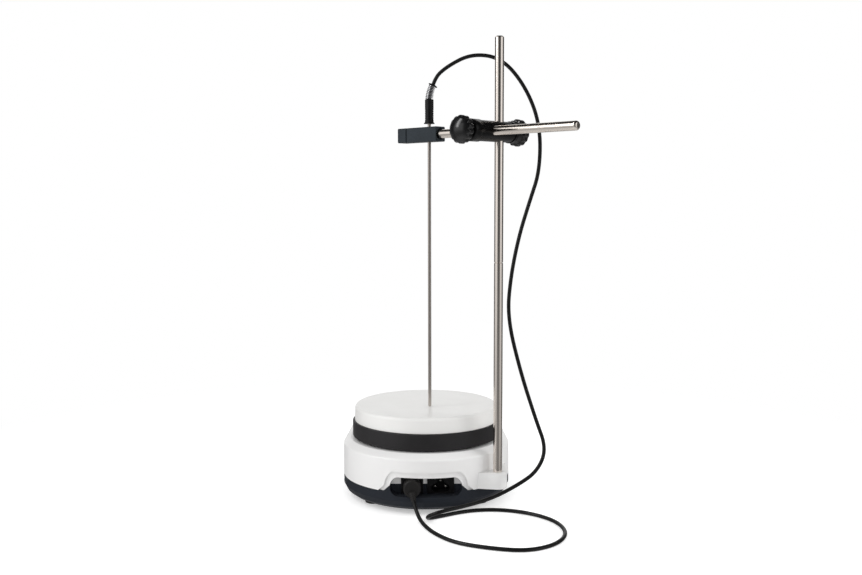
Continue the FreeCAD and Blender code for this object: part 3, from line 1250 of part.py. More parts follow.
def main():
    """Builds and writes every piece."""
    os.makedirs("parts", exist_ok=True)
    save("upper_housing", make_upper_housing())
    save("base_tray", make_base_tray())
    save("rubber_feet", make_rubber_feet())
    save("housing_screws", make_housing_screws())
    save("hot_plate", make_hot_plate())
    save("plate_collar", make_plate_collar())
    save("heater_element", make_heater_element())
    save("insulation_disc", make_insulation_disc())
    save("heat_shield", make_heat_shield())
    save("plate_posts", make_plate_posts())
    save("magnet_carrier", make_magnet_carrier())
    save("drive_magnets", make_drive_magnets())
    save("motor_shaft", make_motor_shaft())
    save("stir_motor", make_stir_motor())
    save("motor_bracket", make_motor_bracket())
    save("sensor_socket", make_sensor_socket())
    save("mains_inlet", make_mains_inlet())
    save("mains_pins", make_mains_pins())
    save("control_panel", make_control_panel())
    save("display_window", make_display_window())
    save("heat_knob", make_knob(KNOB_OFFSET_X))
    save("stir_knob", make_knob(-KNOB_OFFSET_X))
    save("heat_knob_shaft", make_knob_shaft(KNOB_OFFSET_X))
    save("stir_knob_shaft", make_knob_shaft(-KNOB_OFFSET_X))
    save("knob_encoders", make_knob_encoders())
    save("control_board", make_control_board())
    save("power_board", make_power_board())
    save("switch_body", make_switch_body())
    save("power_switch", make_power_switch())
    save("rod_insert", make_rod_insert())
    save("lower_rod", make_lower_rod())
    save("upper_rod", make_upper_rod())
    save("boss_head", make_boss_head())
    save("rod_clamp_knob", make_clamp_knob(True))
    save("rod_clamp_screw", make_clamp_screw(True))
    save("cross_clamp_knob", make_clamp_knob(False))
    save("cross_clamp_screw", make_clamp_screw(False))
    save("cross_rod", make_cross_rod())
    save("probe_holder", make_probe_holder())
    save("holder_cap", make_holder_cap())
    save("probe_sheath", make_probe_sheath())
    save("handle_flange", make_handle_flange())
    save("probe_handle", make_probe_handle())
    save("relief_spring", make_relief_spring())
    save("relief_collar", make_relief_collar())
    save("sensor_cord_upper", make_cord_upper())
    save("sensor_cord_lower", make_cord_lower())
    save("sensor_plug", make_plug())
    save("plug_boot", make_plug_boot())


main()
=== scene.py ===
import json
import logging
import math
from dataclasses import dataclass, field
from enum import Enum
from typing import Any, Optional, Sequence

import bpy
import numpy as np
from mathutils import Matrix, Vector

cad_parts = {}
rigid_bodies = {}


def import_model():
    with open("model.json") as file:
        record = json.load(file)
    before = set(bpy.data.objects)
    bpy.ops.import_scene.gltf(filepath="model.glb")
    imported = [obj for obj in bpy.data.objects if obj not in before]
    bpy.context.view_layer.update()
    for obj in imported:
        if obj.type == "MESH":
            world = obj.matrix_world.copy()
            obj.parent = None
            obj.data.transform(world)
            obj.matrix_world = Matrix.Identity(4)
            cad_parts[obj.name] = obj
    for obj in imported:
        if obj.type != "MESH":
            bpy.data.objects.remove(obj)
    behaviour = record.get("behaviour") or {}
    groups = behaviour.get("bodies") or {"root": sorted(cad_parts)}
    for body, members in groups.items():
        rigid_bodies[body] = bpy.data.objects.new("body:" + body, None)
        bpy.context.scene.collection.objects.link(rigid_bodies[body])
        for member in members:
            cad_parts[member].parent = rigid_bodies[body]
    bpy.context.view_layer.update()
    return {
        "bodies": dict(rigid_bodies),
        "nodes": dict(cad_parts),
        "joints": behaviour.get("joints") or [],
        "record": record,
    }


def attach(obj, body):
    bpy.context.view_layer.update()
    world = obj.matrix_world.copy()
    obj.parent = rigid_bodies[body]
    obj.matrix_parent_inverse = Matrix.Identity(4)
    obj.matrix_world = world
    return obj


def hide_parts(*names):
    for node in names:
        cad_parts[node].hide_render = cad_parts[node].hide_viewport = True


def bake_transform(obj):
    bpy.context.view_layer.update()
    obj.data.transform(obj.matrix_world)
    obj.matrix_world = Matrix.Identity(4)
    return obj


LOG = logging.getLogger("hotplate_stirrer")

BENCH_Z = -0.085
"""Height of the bench in the row frame, in metres. The plate's top face is at zero."""

Point = tuple[float, float, float]
Span = tuple[float, float]

ROOM_LEVELS = ((-180.0, 0.9), (-158.0, 0.9), (-146.0, 0.06), (-104.0, 0.06), (-94.0, 0.9), (-80.0, 1.0),
               (-42.0, 1.0), (-28.0, 0.12), (-14.0, 0.05), (12.0, 0.05), (28.0, 0.15), (42.0, 0.9), (60.0, 1.0),
               (76.0, 0.9), (90.0, 0.06), (146.0, 0.05), (158.0, 0.9), (180.0, 0.9))
"""How bright the room is that metal mirrors, by the angle from the camera's side, in degrees to the right."""

ROOM_OVERHEAD = 0.06
"""How bright the room is overhead, as a share of its sides."""

ROOM_BELOW = 0.2
"""What is left of the sides' light and dark low down, and how bright the grey is that they fade to."""

ROOM_BENCH = 0.35
"""How much brighter the bench is straight below."""


class Axis(Enum):
    """The direction in which a drawn or turned finish runs, as its noise's stretch along x, y and z."""

    ALONG_X = (0.02, 1.0, 1.0)
    ALONG_Z = (1.0, 1.0, 0.02)
    EVERY_WAY = (1.0, 1.0, 1.0)


class CordEnd(Enum):
    """What a length of cord ends in."""

    NEXT_LENGTH = "object"
    PLUG = "plug"


class Kind(Enum):
    """The kinds of socket that a group has."""

    COLOUR = "NodeSocketColor"
    NUMBER = "NodeSocketFloat"
    VECTOR = "NodeSocketVector"


# Wiring of shader nodes


class Wiring:
    """Adds nodes to one shader tree and links them."""

    def __init__(self, tree: bpy.types.NodeTree) -> None:
        """Starts with an empty tree.

        Args:
            tree: the node tree of a material, a world or a group.
        """
        self.tree = tree
        self.tree.nodes.clear()
        self.column = 0

    def feed(self, node: bpy.types.Node, inputs: dict[Any, Any]) -> None:
        """Links or sets the inputs of a node.

        Args:
            node: the node.
            inputs: socket names or numbers, each with a value or with the socket that feeds it.
        """
        for key, value in inputs.items():
            if isinstance(value, bpy.types.NodeSocket):
                self.tree.links.new(value, node.inputs[key])
            else:
                node.inputs[key].default_value = value

    def add(self, kind: str, settings: Optional[dict[str, Any]] = None,
            inputs: Optional[dict[Any, Any]] = None) -> bpy.types.Node:
        """Adds one node.

        Args:
            kind: the node's type name without its "ShaderNode" start, or a group output or input.
            settings: attributes of the node.
            inputs: what feeds it, as feed() takes it.

        Returns:
            The new node.
        """
        full = kind if kind.startswith("NodeGroup") else "ShaderNode" + kind
        node = self.tree.nodes.new(full)
        node.location = (self.column * 180, 0)
        self.column += 1
        for key, value in (settings or {}).items():
            setattr(node, key, value)
        self.feed(node, inputs or {})
        return node

    def group(self, tree: bpy.types.NodeTree, inputs: dict[str, Any]) -> bpy.types.Node:
        """Places a shared group.

        Args:
            tree: the group.
            inputs: its values or feeding sockets.

        Returns:
            The group node.
        """
        node = self.add("Group")
        node.node_tree = tree
        self.feed(node, inputs)
        return node

    def math(self, operation: str, first: Any, second: Any, clamp: bool = False) -> bpy.types.NodeSocket:
        """Adds one operation on two numbers.

        Args:
            operation: the operation's name.
            first: a value or a socket.
            second: a value or a socket.
            clamp: whether the result is kept between 0 and 1.

        Returns:
            The result.
        """
        return self.add("Math", {"operation": operation, "use_clamp": clamp}, {0: first, 1: second}).outputs[0]

    def remap(self, value: bpy.types.NodeSocket, source: Span, target: Span = (0.0, 1.0),
              smooth: bool = False) -> bpy.types.NodeSocket:
        """Maps a number from one span to another.

        Args:
            value: the number.
            source: where it comes from.
            target: where it goes to.
            smooth: whether it eases in and out.

        Returns:
            The mapped number.
        """
        settings = {"interpolation_type": "SMOOTHSTEP"} if smooth else {}
        node = self.add("MapRange", settings, {"Value": value, "From Min": source[0], "From Max": source[1],
                                               "To Min": target[0], "To Max": target[1]})
        return node.outputs["Result"]

    def place(self) -> bpy.types.NodeSocket:
        """Reads the object's own coordinates, which are metres in the row frame."""
        return self.add("TexCoord").outputs["Object"]

    def ramp(self, factor: bpy.types.NodeSocket, stops: Sequence[Span]) -> bpy.types.NodeSocket:
        """Maps a value through a grey ramp.

        Args:
            factor: the value to map.
            stops: pairs of position and grey level.

        Returns:
            The ramp's colour output.
        """
        node = self.add("ValToRGB", inputs={"Fac": factor})
        ends = node.color_ramp.elements
        for element, (place, level) in ((ends[0], stops[0]), (ends[-1], stops[-1])):
            element.position = place
            element.color = (level, level, level, 1.0)
        for place, level in stops[1:-1]:
            element = node.color_ramp.elements.new(place)
            element.color = (level, level, level, 1.0)
        return node.outputs["Color"]


class EffectGroups:
    """The shader node groups that several finishes share, each built once."""

    def __init__(self) -> None:
        """Builds every group."""
        self.tone = self._tone()
        self.grain = self._grain()
        self.drawn = self._drawn()
        self.dust = self._dust()
        self.smudge = self._smudge()
        self.room = self._room()

    @staticmethod
    def _new(name: str, inputs: dict[str, tuple[Kind, Any]],
             outputs: dict[str, Kind]) -> tuple[Wiring, dict[str, bpy.types.NodeSocket], bpy.types.Node]:
        """Makes an empty group with its sockets.

        Args:
            name: the group's name.
            inputs: kind and default of each input.
            outputs: kind of each output.

        Returns:
            The group's wiring, its input sockets by name and the group output node.
        """
        tree = bpy.data.node_groups.new(name, "ShaderNodeTree")
        for label, (kind, default) in inputs.items():
            socket = tree.interface.new_socket(name=label, in_out="INPUT", socket_type=kind.value)
            socket.default_value = default
        for label, kind in outputs.items():
            tree.interface.new_socket(name=label, in_out="OUTPUT", socket_type=kind.value)
        wiring = Wiring(tree)
        given = wiring.add("NodeGroupInput").outputs
        return wiring, {label: given[label] for label in inputs}, wiring.add("NodeGroupOutput")

    def _tone(self) -> bpy.types.NodeTree:
        """Builds the group that drifts a colour gently lighter and darker over the surface."""
        w, given, end = self._new(
            "SurfaceTone",
            {"Color": (Kind.COLOUR, (0.5, 0.5, 0.5, 1)), "Scale": (Kind.NUMBER, 20.0),
             "Spread": (Kind.NUMBER, 0.05), "Speckle": (Kind.NUMBER, 0.0)},
            {"Color": Kind.COLOUR})
        place = w.place()
        slow = w.add("TexNoise", inputs={"Vector": place, "Scale": given["Scale"], "Detail": 3.0}).outputs["Fac"]
        fine = w.math("MULTIPLY", given["Scale"], 60.0)
        fast = w.add("TexNoise", inputs={"Vector": place, "Scale": fine, "Detail": 1.0}).outputs["Fac"]
        drift = w.math("MULTIPLY", w.remap(slow, (0.3, 0.7), (-1.0, 1.0)), given["Spread"])
        fleck = w.math("MULTIPLY", w.remap(fast, (0.35, 0.65), (-1.0, 1.0)), given["Speckle"])
        value = w.math("ADD", w.math("ADD", drift, fleck), 1.0)
        tint = w.add("HueSaturation", inputs={"Color": given["Color"], "Value": value}).outputs["Color"]
        w.feed(end, {"Color": tint})
        return w.tree

    def _grain(self) -> bpy.types.NodeTree:
        """Builds the group for a moulded or sprayed surface: a fine bump that is the same in every direction."""
        w, given, end = self._new(
            "MouldGrain",
            {"Scale": (Kind.NUMBER, 2500.0), "Strength": (Kind.NUMBER, 0.1), "Depth": (Kind.NUMBER, 0.00005)},
            {"Normal": Kind.VECTOR})
        fine = w.add("TexNoise", inputs={"Vector": w.place(), "Scale": given["Scale"], "Detail": 2.0,
                                         "Roughness": 0.55}).outputs["Fac"]
        bump = w.add("Bump", inputs={"Height": fine, "Strength": given["Strength"], "Distance": given["Depth"]})
        w.feed(end, {"Normal": bump.outputs["Normal"]})
        return w.tree

    def _drawn(self) -> bpy.types.NodeTree:
        """Builds the group for drawn or ground metal: long streaks in roughness, tone and height."""
        w, given, end = self._new(
            "DrawnStreaks",
            {"Stretch": (Kind.VECTOR, (1.0, 1.0, 0.02)), "Turn": (Kind.NUMBER, 0.0), "Scale": (Kind.NUMBER, 1800.0),
             "Roughness": (Kind.NUMBER, 0.25), "Spread": (Kind.NUMBER, 0.08), "Strength": (Kind.NUMBER, 0.06)},
            {"Roughness": Kind.NUMBER, "Mask": Kind.NUMBER, "Normal": Kind.VECTOR})
        turned = w.add("VectorRotate", {"rotation_type": "Z_AXIS"}, {"Vector": w.place(), "Angle": given["Turn"]})
        stretched = w.add("VectorMath", {"operation": "MULTIPLY"}, {0: turned.outputs[0], 1: given["Stretch"]})
        streak = w.add("TexNoise", inputs={"Vector": stretched.outputs[0], "Scale": given["Scale"], "Detail": 4.0,
                                           "Roughness": 0.6}).outputs["Fac"]
        change = w.math("MULTIPLY", w.remap(streak, (0.3, 0.7), (-1.0, 1.0)), given["Spread"])
        rough = w.math("ADD", change, given["Roughness"], clamp=True)
        bump = w.add("Bump", inputs={"Height": streak, "Strength": given["Strength"], "Distance": 0.00002})
        w.feed(end, {"Roughness": rough, "Mask": streak, "Normal": bump.outputs["Normal"]})
        return w.tree

    def _dust(self) -> bpy.types.NodeTree:
        """Builds the group that lays a little pale dust on faces that look up."""
        w, given, end = self._new(
            "SettledDust",
            {"Color": (Kind.COLOUR, (0.5, 0.5, 0.5, 1)), "Dust": (Kind.COLOUR, (0.6, 0.58, 0.55, 1)),
             "Amount": (Kind.NUMBER, 0.05)},
            {"Color": Kind.COLOUR})
        place = w.place()
        up = w.add("SeparateXYZ", inputs={0: w.add("NewGeometry").outputs["Normal"]}).outputs["Z"]
        facing = w.remap(up, (0.3, 1.0))
        patch = w.add("TexNoise", inputs={"Vector": place, "Scale": 220.0, "Detail": 5.0}).outputs["Fac"]
        both = w.math("MULTIPLY", facing, w.remap(patch, (0.4, 0.75)))
        mask = w.math("MULTIPLY", both, given["Amount"])
        mixed = w.add("Mix", {"data_type": "RGBA"}, {0: mask, 6: given["Color"], 7: given["Dust"]})
        w.feed(end, {"Color": mixed.outputs[2]})
        return w.tree

    def _smudge(self) -> bpy.types.NodeTree:
        """Builds the group for handled gloss: roughness that rises in soft patches."""
        w, given, end = self._new(
            "HandledGloss",
            {"Roughness": (Kind.NUMBER, 0.3), "Spread": (Kind.NUMBER, 0.1), "Scale": (Kind.NUMBER, 60.0)},
            {"Roughness": Kind.NUMBER})
        cloud = w.add("TexNoise", inputs={"Vector": w.place(), "Scale": given["Scale"], "Detail": 4.0,
                                          "Distortion": 0.6}).outputs["Fac"]
        change = w.math("MULTIPLY", w.remap(cloud, (0.35, 0.65)), given["Spread"])
        w.feed(end, {"Roughness": w.math("ADD", change, given["Roughness"], clamp=True)})
        return w.tree

    def _room(self) -> bpy.types.NodeTree:
        """Builds the group that tells how bright the studio is in a direction: two light boxes in a dark room."""
        w, given, end = self._new("StudioRoom", {"Direction": (Kind.VECTOR, (0.0, 1.0, 0.0))},
                                  {"Level": Kind.NUMBER})
        way = w.add("SeparateXYZ", inputs={0: given["Direction"]}).outputs
        round_it = w.math("ARCTAN2", way["X"], w.math("MULTIPLY", way["Y"], -1.0))
        share = w.remap(round_it, (-math.pi, math.pi))
        boxes = w.ramp(share, [((angle + 180.0) / 360.0, level) for angle, level in ROOM_LEVELS])
        sides = w.math("MULTIPLY", boxes, w.remap(way["Z"], (0.50, 0.68), (1.0, ROOM_OVERHEAD), smooth=True))
        low_down = (-0.30, 0.08)
        faded = w.math("MULTIPLY", sides, w.remap(way["Z"], low_down, (ROOM_BELOW, 1.0), smooth=True))
        walls = w.math("ADD", faded, w.remap(way["Z"], low_down, (ROOM_BELOW, 0.0), smooth=True))
        bench = w.remap(way["Z"], (-0.66, -0.46), (ROOM_BENCH, 0.0), smooth=True)
        w.feed(end, {"Level": w.math("ADD", walls, bench)})
        return w.tree


# Finishes


@dataclass(frozen=True)
class Finish:
    """One finish of the stirrer. Colours are linear."""

    name: str
    colour: Point
    roughness: float = 0.4

    def build(self, groups: EffectGroups) -> bpy.types.Material:
        """Makes the material.

        Args:
            groups: the shared shader node groups.

        Returns:
            The new material.
        """
        material = bpy.data.materials.new(self.name)
        material.use_nodes = True
        w = Wiring(material.node_tree)
        shader = w.add("BsdfPrincipled")
        w.add("OutputMaterial", inputs={"Surface": shader.outputs["BSDF"]})
        material.diffuse_color = (*self.colour, 1.0)
        w.feed(shader, self.inputs(w, groups))
        return material

    def inputs(self, w: Wiring, groups: EffectGroups) -> dict[str, Any]:
        """Builds what feeds the shader. Each kind of finish has its own.

        Args:
            w: the material's wiring.
            groups: the shared shader node groups.

        Returns:
            The shader's inputs by name.
        """
        raise NotImplementedError

    def toned(self, w: Wiring, groups: EffectGroups, scale: float, spread: float, speckle: float = 0.0,
              dust: Optional[float] = None) -> bpy.types.NodeSocket:
        """Drifts the finish's colour over the surface, and lays dust on it.

        Args:
            w: the material's wiring.
            groups: the shared shader node groups.
            scale: how fine the drift is.
            spread: how far the tone drifts.
            speckle: how strong its flecks are.
            dust: how much dust lies on it, if any.

        Returns:
            The colour.
        """
        tone = w.group(groups.tone, {"Color": (*self.colour, 1.0), "Spread": spread, "Speckle": speckle,
                                     "Scale": scale}).outputs["Color"]
        if dust is None:
            return tone
        return w.group(groups.dust, {"Color": tone, "Amount": dust}).outputs["Color"]

    def handled_gloss(self, w: Wiring, groups: EffectGroups, scale: float, spread: float) -> bpy.types.NodeSocket:
        """Works out the roughness of a surface that hands have touched, from its scale and spread."""
        return w.group(groups.smudge, {"Roughness": self.roughness, "Spread": spread,
                                       "Scale": scale}).outputs["Roughness"]


@dataclass(frozen=True)
class MouldedPlastic(Finish):
    """Injection moulded or sprayed plastic, with its own grain, drift of tone and a little dust."""

    grain_scale: float = 2600.0
    grain_strength: float = 0.12
    tone_spread: float = 0.03
    speckle: float = 0.01
    dust: float = 0.04
    coat: float = 0.0
    handled: float = 0.08
    specular: float = 0.5

    def inputs(self, w: Wiring, groups: EffectGroups) -> dict[str, Any]:
        """Takes colour from tone and dust, roughness from handling and the normal from the grain."""
        colour = self.toned(w, groups, 24.0, self.tone_spread, self.speckle, self.dust)
        gloss = self.handled_gloss(w, groups, 55.0, self.handled)
        grain = w.group(groups.grain, {"Scale": self.grain_scale, "Strength": self.grain_strength})
        return {"Base Color": colour, "Roughness": gloss, "Normal": grain.outputs["Normal"],
                "Specular IOR Level": self.specular, "Coat Weight": self.coat, "Coat Roughness": 0.12}


@dataclass(frozen=True)
class CeramicEnamel(Finish):
    """The plate's fired white coating: a smooth skin with faint waves, pinholes and use marks."""

    def inputs(self, w: Wiring, groups: EffectGroups) -> dict[str, Any]:
        """Takes the bump from a slow wave and pinholes, and the colour from faint grey use marks."""
        colour = self.toned(w, groups, 30.0, 0.012, 0.008)
        place = w.place()
        pits = w.add("TexVoronoi", {"feature": "DISTANCE_TO_EDGE"}, {"Vector": place, "Scale": 900.0})
        wave = w.add("TexNoise", inputs={"Vector": place, "Scale": 90.0, "Detail": 2.0})
        height = w.add("Mix", {"data_type": "FLOAT"}, {0: 0.15, 2: wave.outputs["Fac"],
                                                       3: pits.outputs["Distance"]}).outputs[0]
        bump = w.add("Bump", inputs={"Height": height, "Strength": 0.12, "Distance": 0.0001})
        return {"Base Color": colour, "Roughness": self.handled_gloss(w, groups, 40.0, 0.12),
                "Normal": bump.outputs["Normal"], "Coat Weight": 0.25, "Coat Roughness": 0.2}


@dataclass(frozen=True)
class DrawnMetal(Finish):
    """Bare or plated metal with the streaks of its drawing or turning."""

    axis: Axis = Axis.ALONG_Z
    turn: float = 0.0
    scale: float = 1500.0
    spread: float = 0.02
    strength: float = 0.003
    tint: float = 0.03

    def inputs(self, w: Wiring, groups: EffectGroups) -> dict[str, Any]:
        """Takes roughness, tone and normal from the streaks."""
        streaks = w.group(groups.drawn, {"Stretch": self.axis.value, "Turn": self.turn, "Scale": self.scale,
                                         "Roughness": self.roughness, "Spread": self.spread,
                                         "Strength": self.strength}).outputs
        level = w.remap(streaks["Mask"], (0.3, 0.7), (1.0 - self.tint, 1.0 + self.tint))
        colour = w.add("HueSaturation", inputs={"Color": (*self.colour, 1.0), "Value": level}).outputs["Color"]
        return {"Base Color": colour, "Roughness": streaks["Roughness"], "Normal": streaks["Normal"],
                "Metallic": 1.0}


@dataclass(frozen=True)
class StoveEnamel(Finish):
    """A glossy coating on cast or milled metal, with orange peel and a worn sheen."""

    peel: float = 0.25
    specular: float = 0.35

    def inputs(self, w: Wiring, groups: EffectGroups) -> dict[str, Any]:
        """Takes the normal from the orange peel, and the roughness from handling."""
        colour = self.toned(w, groups, 60.0, 0.10, 0.04, dust=0.02)
        gloss = self.handled_gloss(w, groups, 120.0, 0.14)
        grain = w.group(groups.grain, {"Scale": 900.0, "Strength": self.peel, "Depth": 0.00008})
        return {"Base Color": colour, "Roughness": gloss, "Normal": grain.outputs["Normal"],
                "Specular IOR Level": self.specular}


@dataclass(frozen=True)
class CordSheath(Finish):
    """The cord's soft black sheath, with fine rings from extrusion."""

    def inputs(self, w: Wiring, groups: EffectGroups) -> dict[str, Any]:
        """Takes the normal from fine bumps along the cord's own length, and the colour from a little dust."""
        colour = self.toned(w, groups, 80.0, 0.12, 0.06, dust=0.02)
        along = w.add("UVMap", {"uv_map": "UVMap"}).outputs["UV"]
        rings = w.add("TexWave", {"wave_type": "BANDS", "bands_direction": "X"},
                      {"Vector": along, "Scale": 300.0, "Distortion": 1.5, "Detail": 2.0})
        bump = w.add("Bump", inputs={"Height": rings.outputs["Fac"], "Strength": 0.05, "Distance": 0.0001})
        return {"Base Color": colour, "Roughness": self.handled_gloss(w, groups, 150.0, 0.12),
                "Normal": bump.outputs["Normal"], "Specular IOR Level": 0.35}


@dataclass(frozen=True)
class DisplayGlass(Finish):
    """The dark window over the display."""

    def inputs(self, w: Wiring, groups: EffectGroups) -> dict[str, Any]:
        """Takes the roughness from a slight unevenness."""
        gloss = self.handled_gloss(w, groups, 90.0, 0.05)
        return {"Base Color": self.toned(w, groups, 50.0, 0.05), "Roughness": gloss, "Specular IOR Level": 0.25}


@dataclass(frozen=True)
class LitSegment(Finish):
    """The lit segments of the display, and the lamps."""

    strength: float = 0.8

    def inputs(self, w: Wiring, groups: EffectGroups) -> dict[str, Any]:
        """Takes the glow from the finish's own colour."""
        colour = self.toned(w, groups, 300.0, 0.06)
        return {"Base Color": colour, "Emission Color": colour, "Emission Strength": self.strength,
                "Roughness": self.roughness}


@dataclass(frozen=True)
class CircuitLaminate(Finish):
    """Green board laminate with a faint weave and copper tracks under the mask."""

    def inputs(self, w: Wiring, groups: EffectGroups) -> dict[str, Any]:
        """Takes the colour from tracks, which are thin lighter lines of a brick pattern."""
        tracks = w.add("TexBrick", {"offset": 0.37},
                       {"Vector": w.place(), "Scale": 220.0, "Mortar Size": 0.03,
                        "Color1": (*self.colour, 1.0), "Color2": (*self.colour, 1.0),
                        "Mortar": (self.colour[0] * 2.2, self.colour[1] * 1.7, self.colour[2] * 1.5, 1.0)})
        tone = w.group(groups.tone, {"Color": tracks.outputs["Color"], "Spread": 0.05, "Scale": 90.0})
        grain = w.group(groups.grain, {"Scale": 3000.0, "Strength": 0.1})
        return {"Base Color": tone.outputs["Color"], "Normal": grain.outputs["Normal"],
                "Roughness": self.roughness}


def stirrer_finishes() -> dict[str, Finish]:
    """Lists every finish of the stirrer.

    Returns:
        The finishes by the record's material slot, with a few more for the pieces that are only dressing.
    """
    cross = math.radians(45.0)
    return {
        "white_shell": MouldedPlastic("WhiteShell", (0.76, 0.755, 0.75), 0.30, grain_scale=1800.0,
                                      grain_strength=0.02, tone_spread=0.010, speckle=0.004, dust=0.02, coat=0.15,
                                      handled=0.02),
        "white_ceramic": CeramicEnamel("WhiteCeramic", (0.74, 0.735, 0.72), 0.34),
        "black_collar": MouldedPlastic("BlackCollar", (0.017, 0.016, 0.017), 0.42, grain_scale=1500.0,
                                       grain_strength=0.35, tone_spread=0.12, speckle=0.08, dust=0.05,
                                       specular=0.3),
        "charcoal": MouldedPlastic("CharcoalTray", (0.016, 0.019, 0.025), 0.50, grain_scale=2200.0,
                                   grain_strength=0.12, tone_spread=0.06, speckle=0.05, dust=0.02, specular=0.15),
        "rubber_black": MouldedPlastic("FootRubber", (0.012, 0.012, 0.012), 0.75, grain_strength=0.4,
                                       speckle=0.08, specular=0.3),
        "rod_steel": DrawnMetal("RodSteel", (0.86, 0.79, 0.73), 0.17),
        "cross_steel": DrawnMetal("CrossRodSteel", (0.86, 0.79, 0.72), 0.17, axis=Axis.ALONG_X, turn=cross),
        "probe_steel": DrawnMetal("ProbeSteel", (0.55, 0.50, 0.46), 0.28),
        "spring_steel": DrawnMetal("SpringWire", (0.62, 0.62, 0.64), 0.25, axis=Axis.EVERY_WAY),
        "black_casting": StoveEnamel("BlackCasting", (0.002, 0.002, 0.0022), 0.20, peel=0.06, specular=0.22),
        "black_knob": StoveEnamel("BlackKnob", (0.003, 0.003, 0.0035), 0.16, peel=0.03, specular=0.60),
        "slate_block": StoveEnamel("SlateBlock", (0.022, 0.028, 0.034), 0.45, peel=0.2, specular=0.2),
        "black_moulding": MouldedPlastic("BlackMoulding", (0.004, 0.004, 0.0045), 0.42, grain_strength=0.2,
                                         speckle=0.06, tone_spread=0.08, dust=0.02, specular=0.3),
        "plug_rubber": MouldedPlastic("PlugRubber", (0.012, 0.011, 0.0106), 0.48, grain_strength=0.25,
                                      speckle=0.10, tone_spread=0.10, dust=0.03, specular=0.3),
        "zinc_screw": DrawnMetal("ZincScrew", (0.52, 0.53, 0.54), 0.32, axis=Axis.EVERY_WAY, scale=900.0),
        "brass_insert": DrawnMetal("BrassInsert", (0.62, 0.42, 0.16), 0.28),
        "pin_nickel": DrawnMetal("PinNickel", (0.80, 0.78, 0.72), 0.16, axis=Axis.EVERY_WAY, scale=700.0),
        "heater_alloy": DrawnMetal("HeaterAlloy", (0.50, 0.50, 0.50), 0.45, axis=Axis.EVERY_WAY, scale=500.0),
        "fibre_board": MouldedPlastic("FibreBoard", (0.58, 0.54, 0.46), 0.85, grain_scale=700.0, grain_strength=0.7,
                                      speckle=0.1, tone_spread=0.08),
        "shield_steel": DrawnMetal("ShieldSteel", (0.55, 0.55, 0.56), 0.38, axis=Axis.ALONG_X),
        "motor_steel": StoveEnamel("MotorCan", (0.12, 0.13, 0.14), 0.40),
        "magnet_nickel": DrawnMetal("MagnetNickel", (0.60, 0.60, 0.62), 0.22, axis=Axis.EVERY_WAY, scale=600.0),
        "carrier_alloy": DrawnMetal("CarrierAlloy", (0.62, 0.62, 0.63), 0.30, axis=Axis.ALONG_X),
        "circuit_board": CircuitLaminate("CircuitBoard", (0.010, 0.075, 0.030), 0.38),
        "panel_grey": MouldedPlastic("PanelFoil", (0.045, 0.052, 0.062), 0.42, grain_scale=3200.0,
                                     grain_strength=0.2, speckle=0.03, dust=0.02),
        "display_dark": DisplayGlass("DisplayWindow", (0.006, 0.008, 0.010), 0.08),
        "cord_black": CordSheath("CordSheath", (0.004, 0.004, 0.004), 0.36),
        "print_white": MouldedPlastic("PrintedMarks", (0.66, 0.67, 0.68), 0.55, speckle=0.05, dust=0.0),
        "segments": LitSegment("LitSegments", (0.62, 0.80, 0.90), 0.4, strength=0.35),
        "stir_lamp": LitSegment("StirLamp", (0.05, 0.55, 0.12), 0.25, strength=0.5),
        "heat_lamp": LitSegment("HeatLamp", (0.65, 0.05, 0.03), 0.25, strength=0.5),
    }


# Surfaces


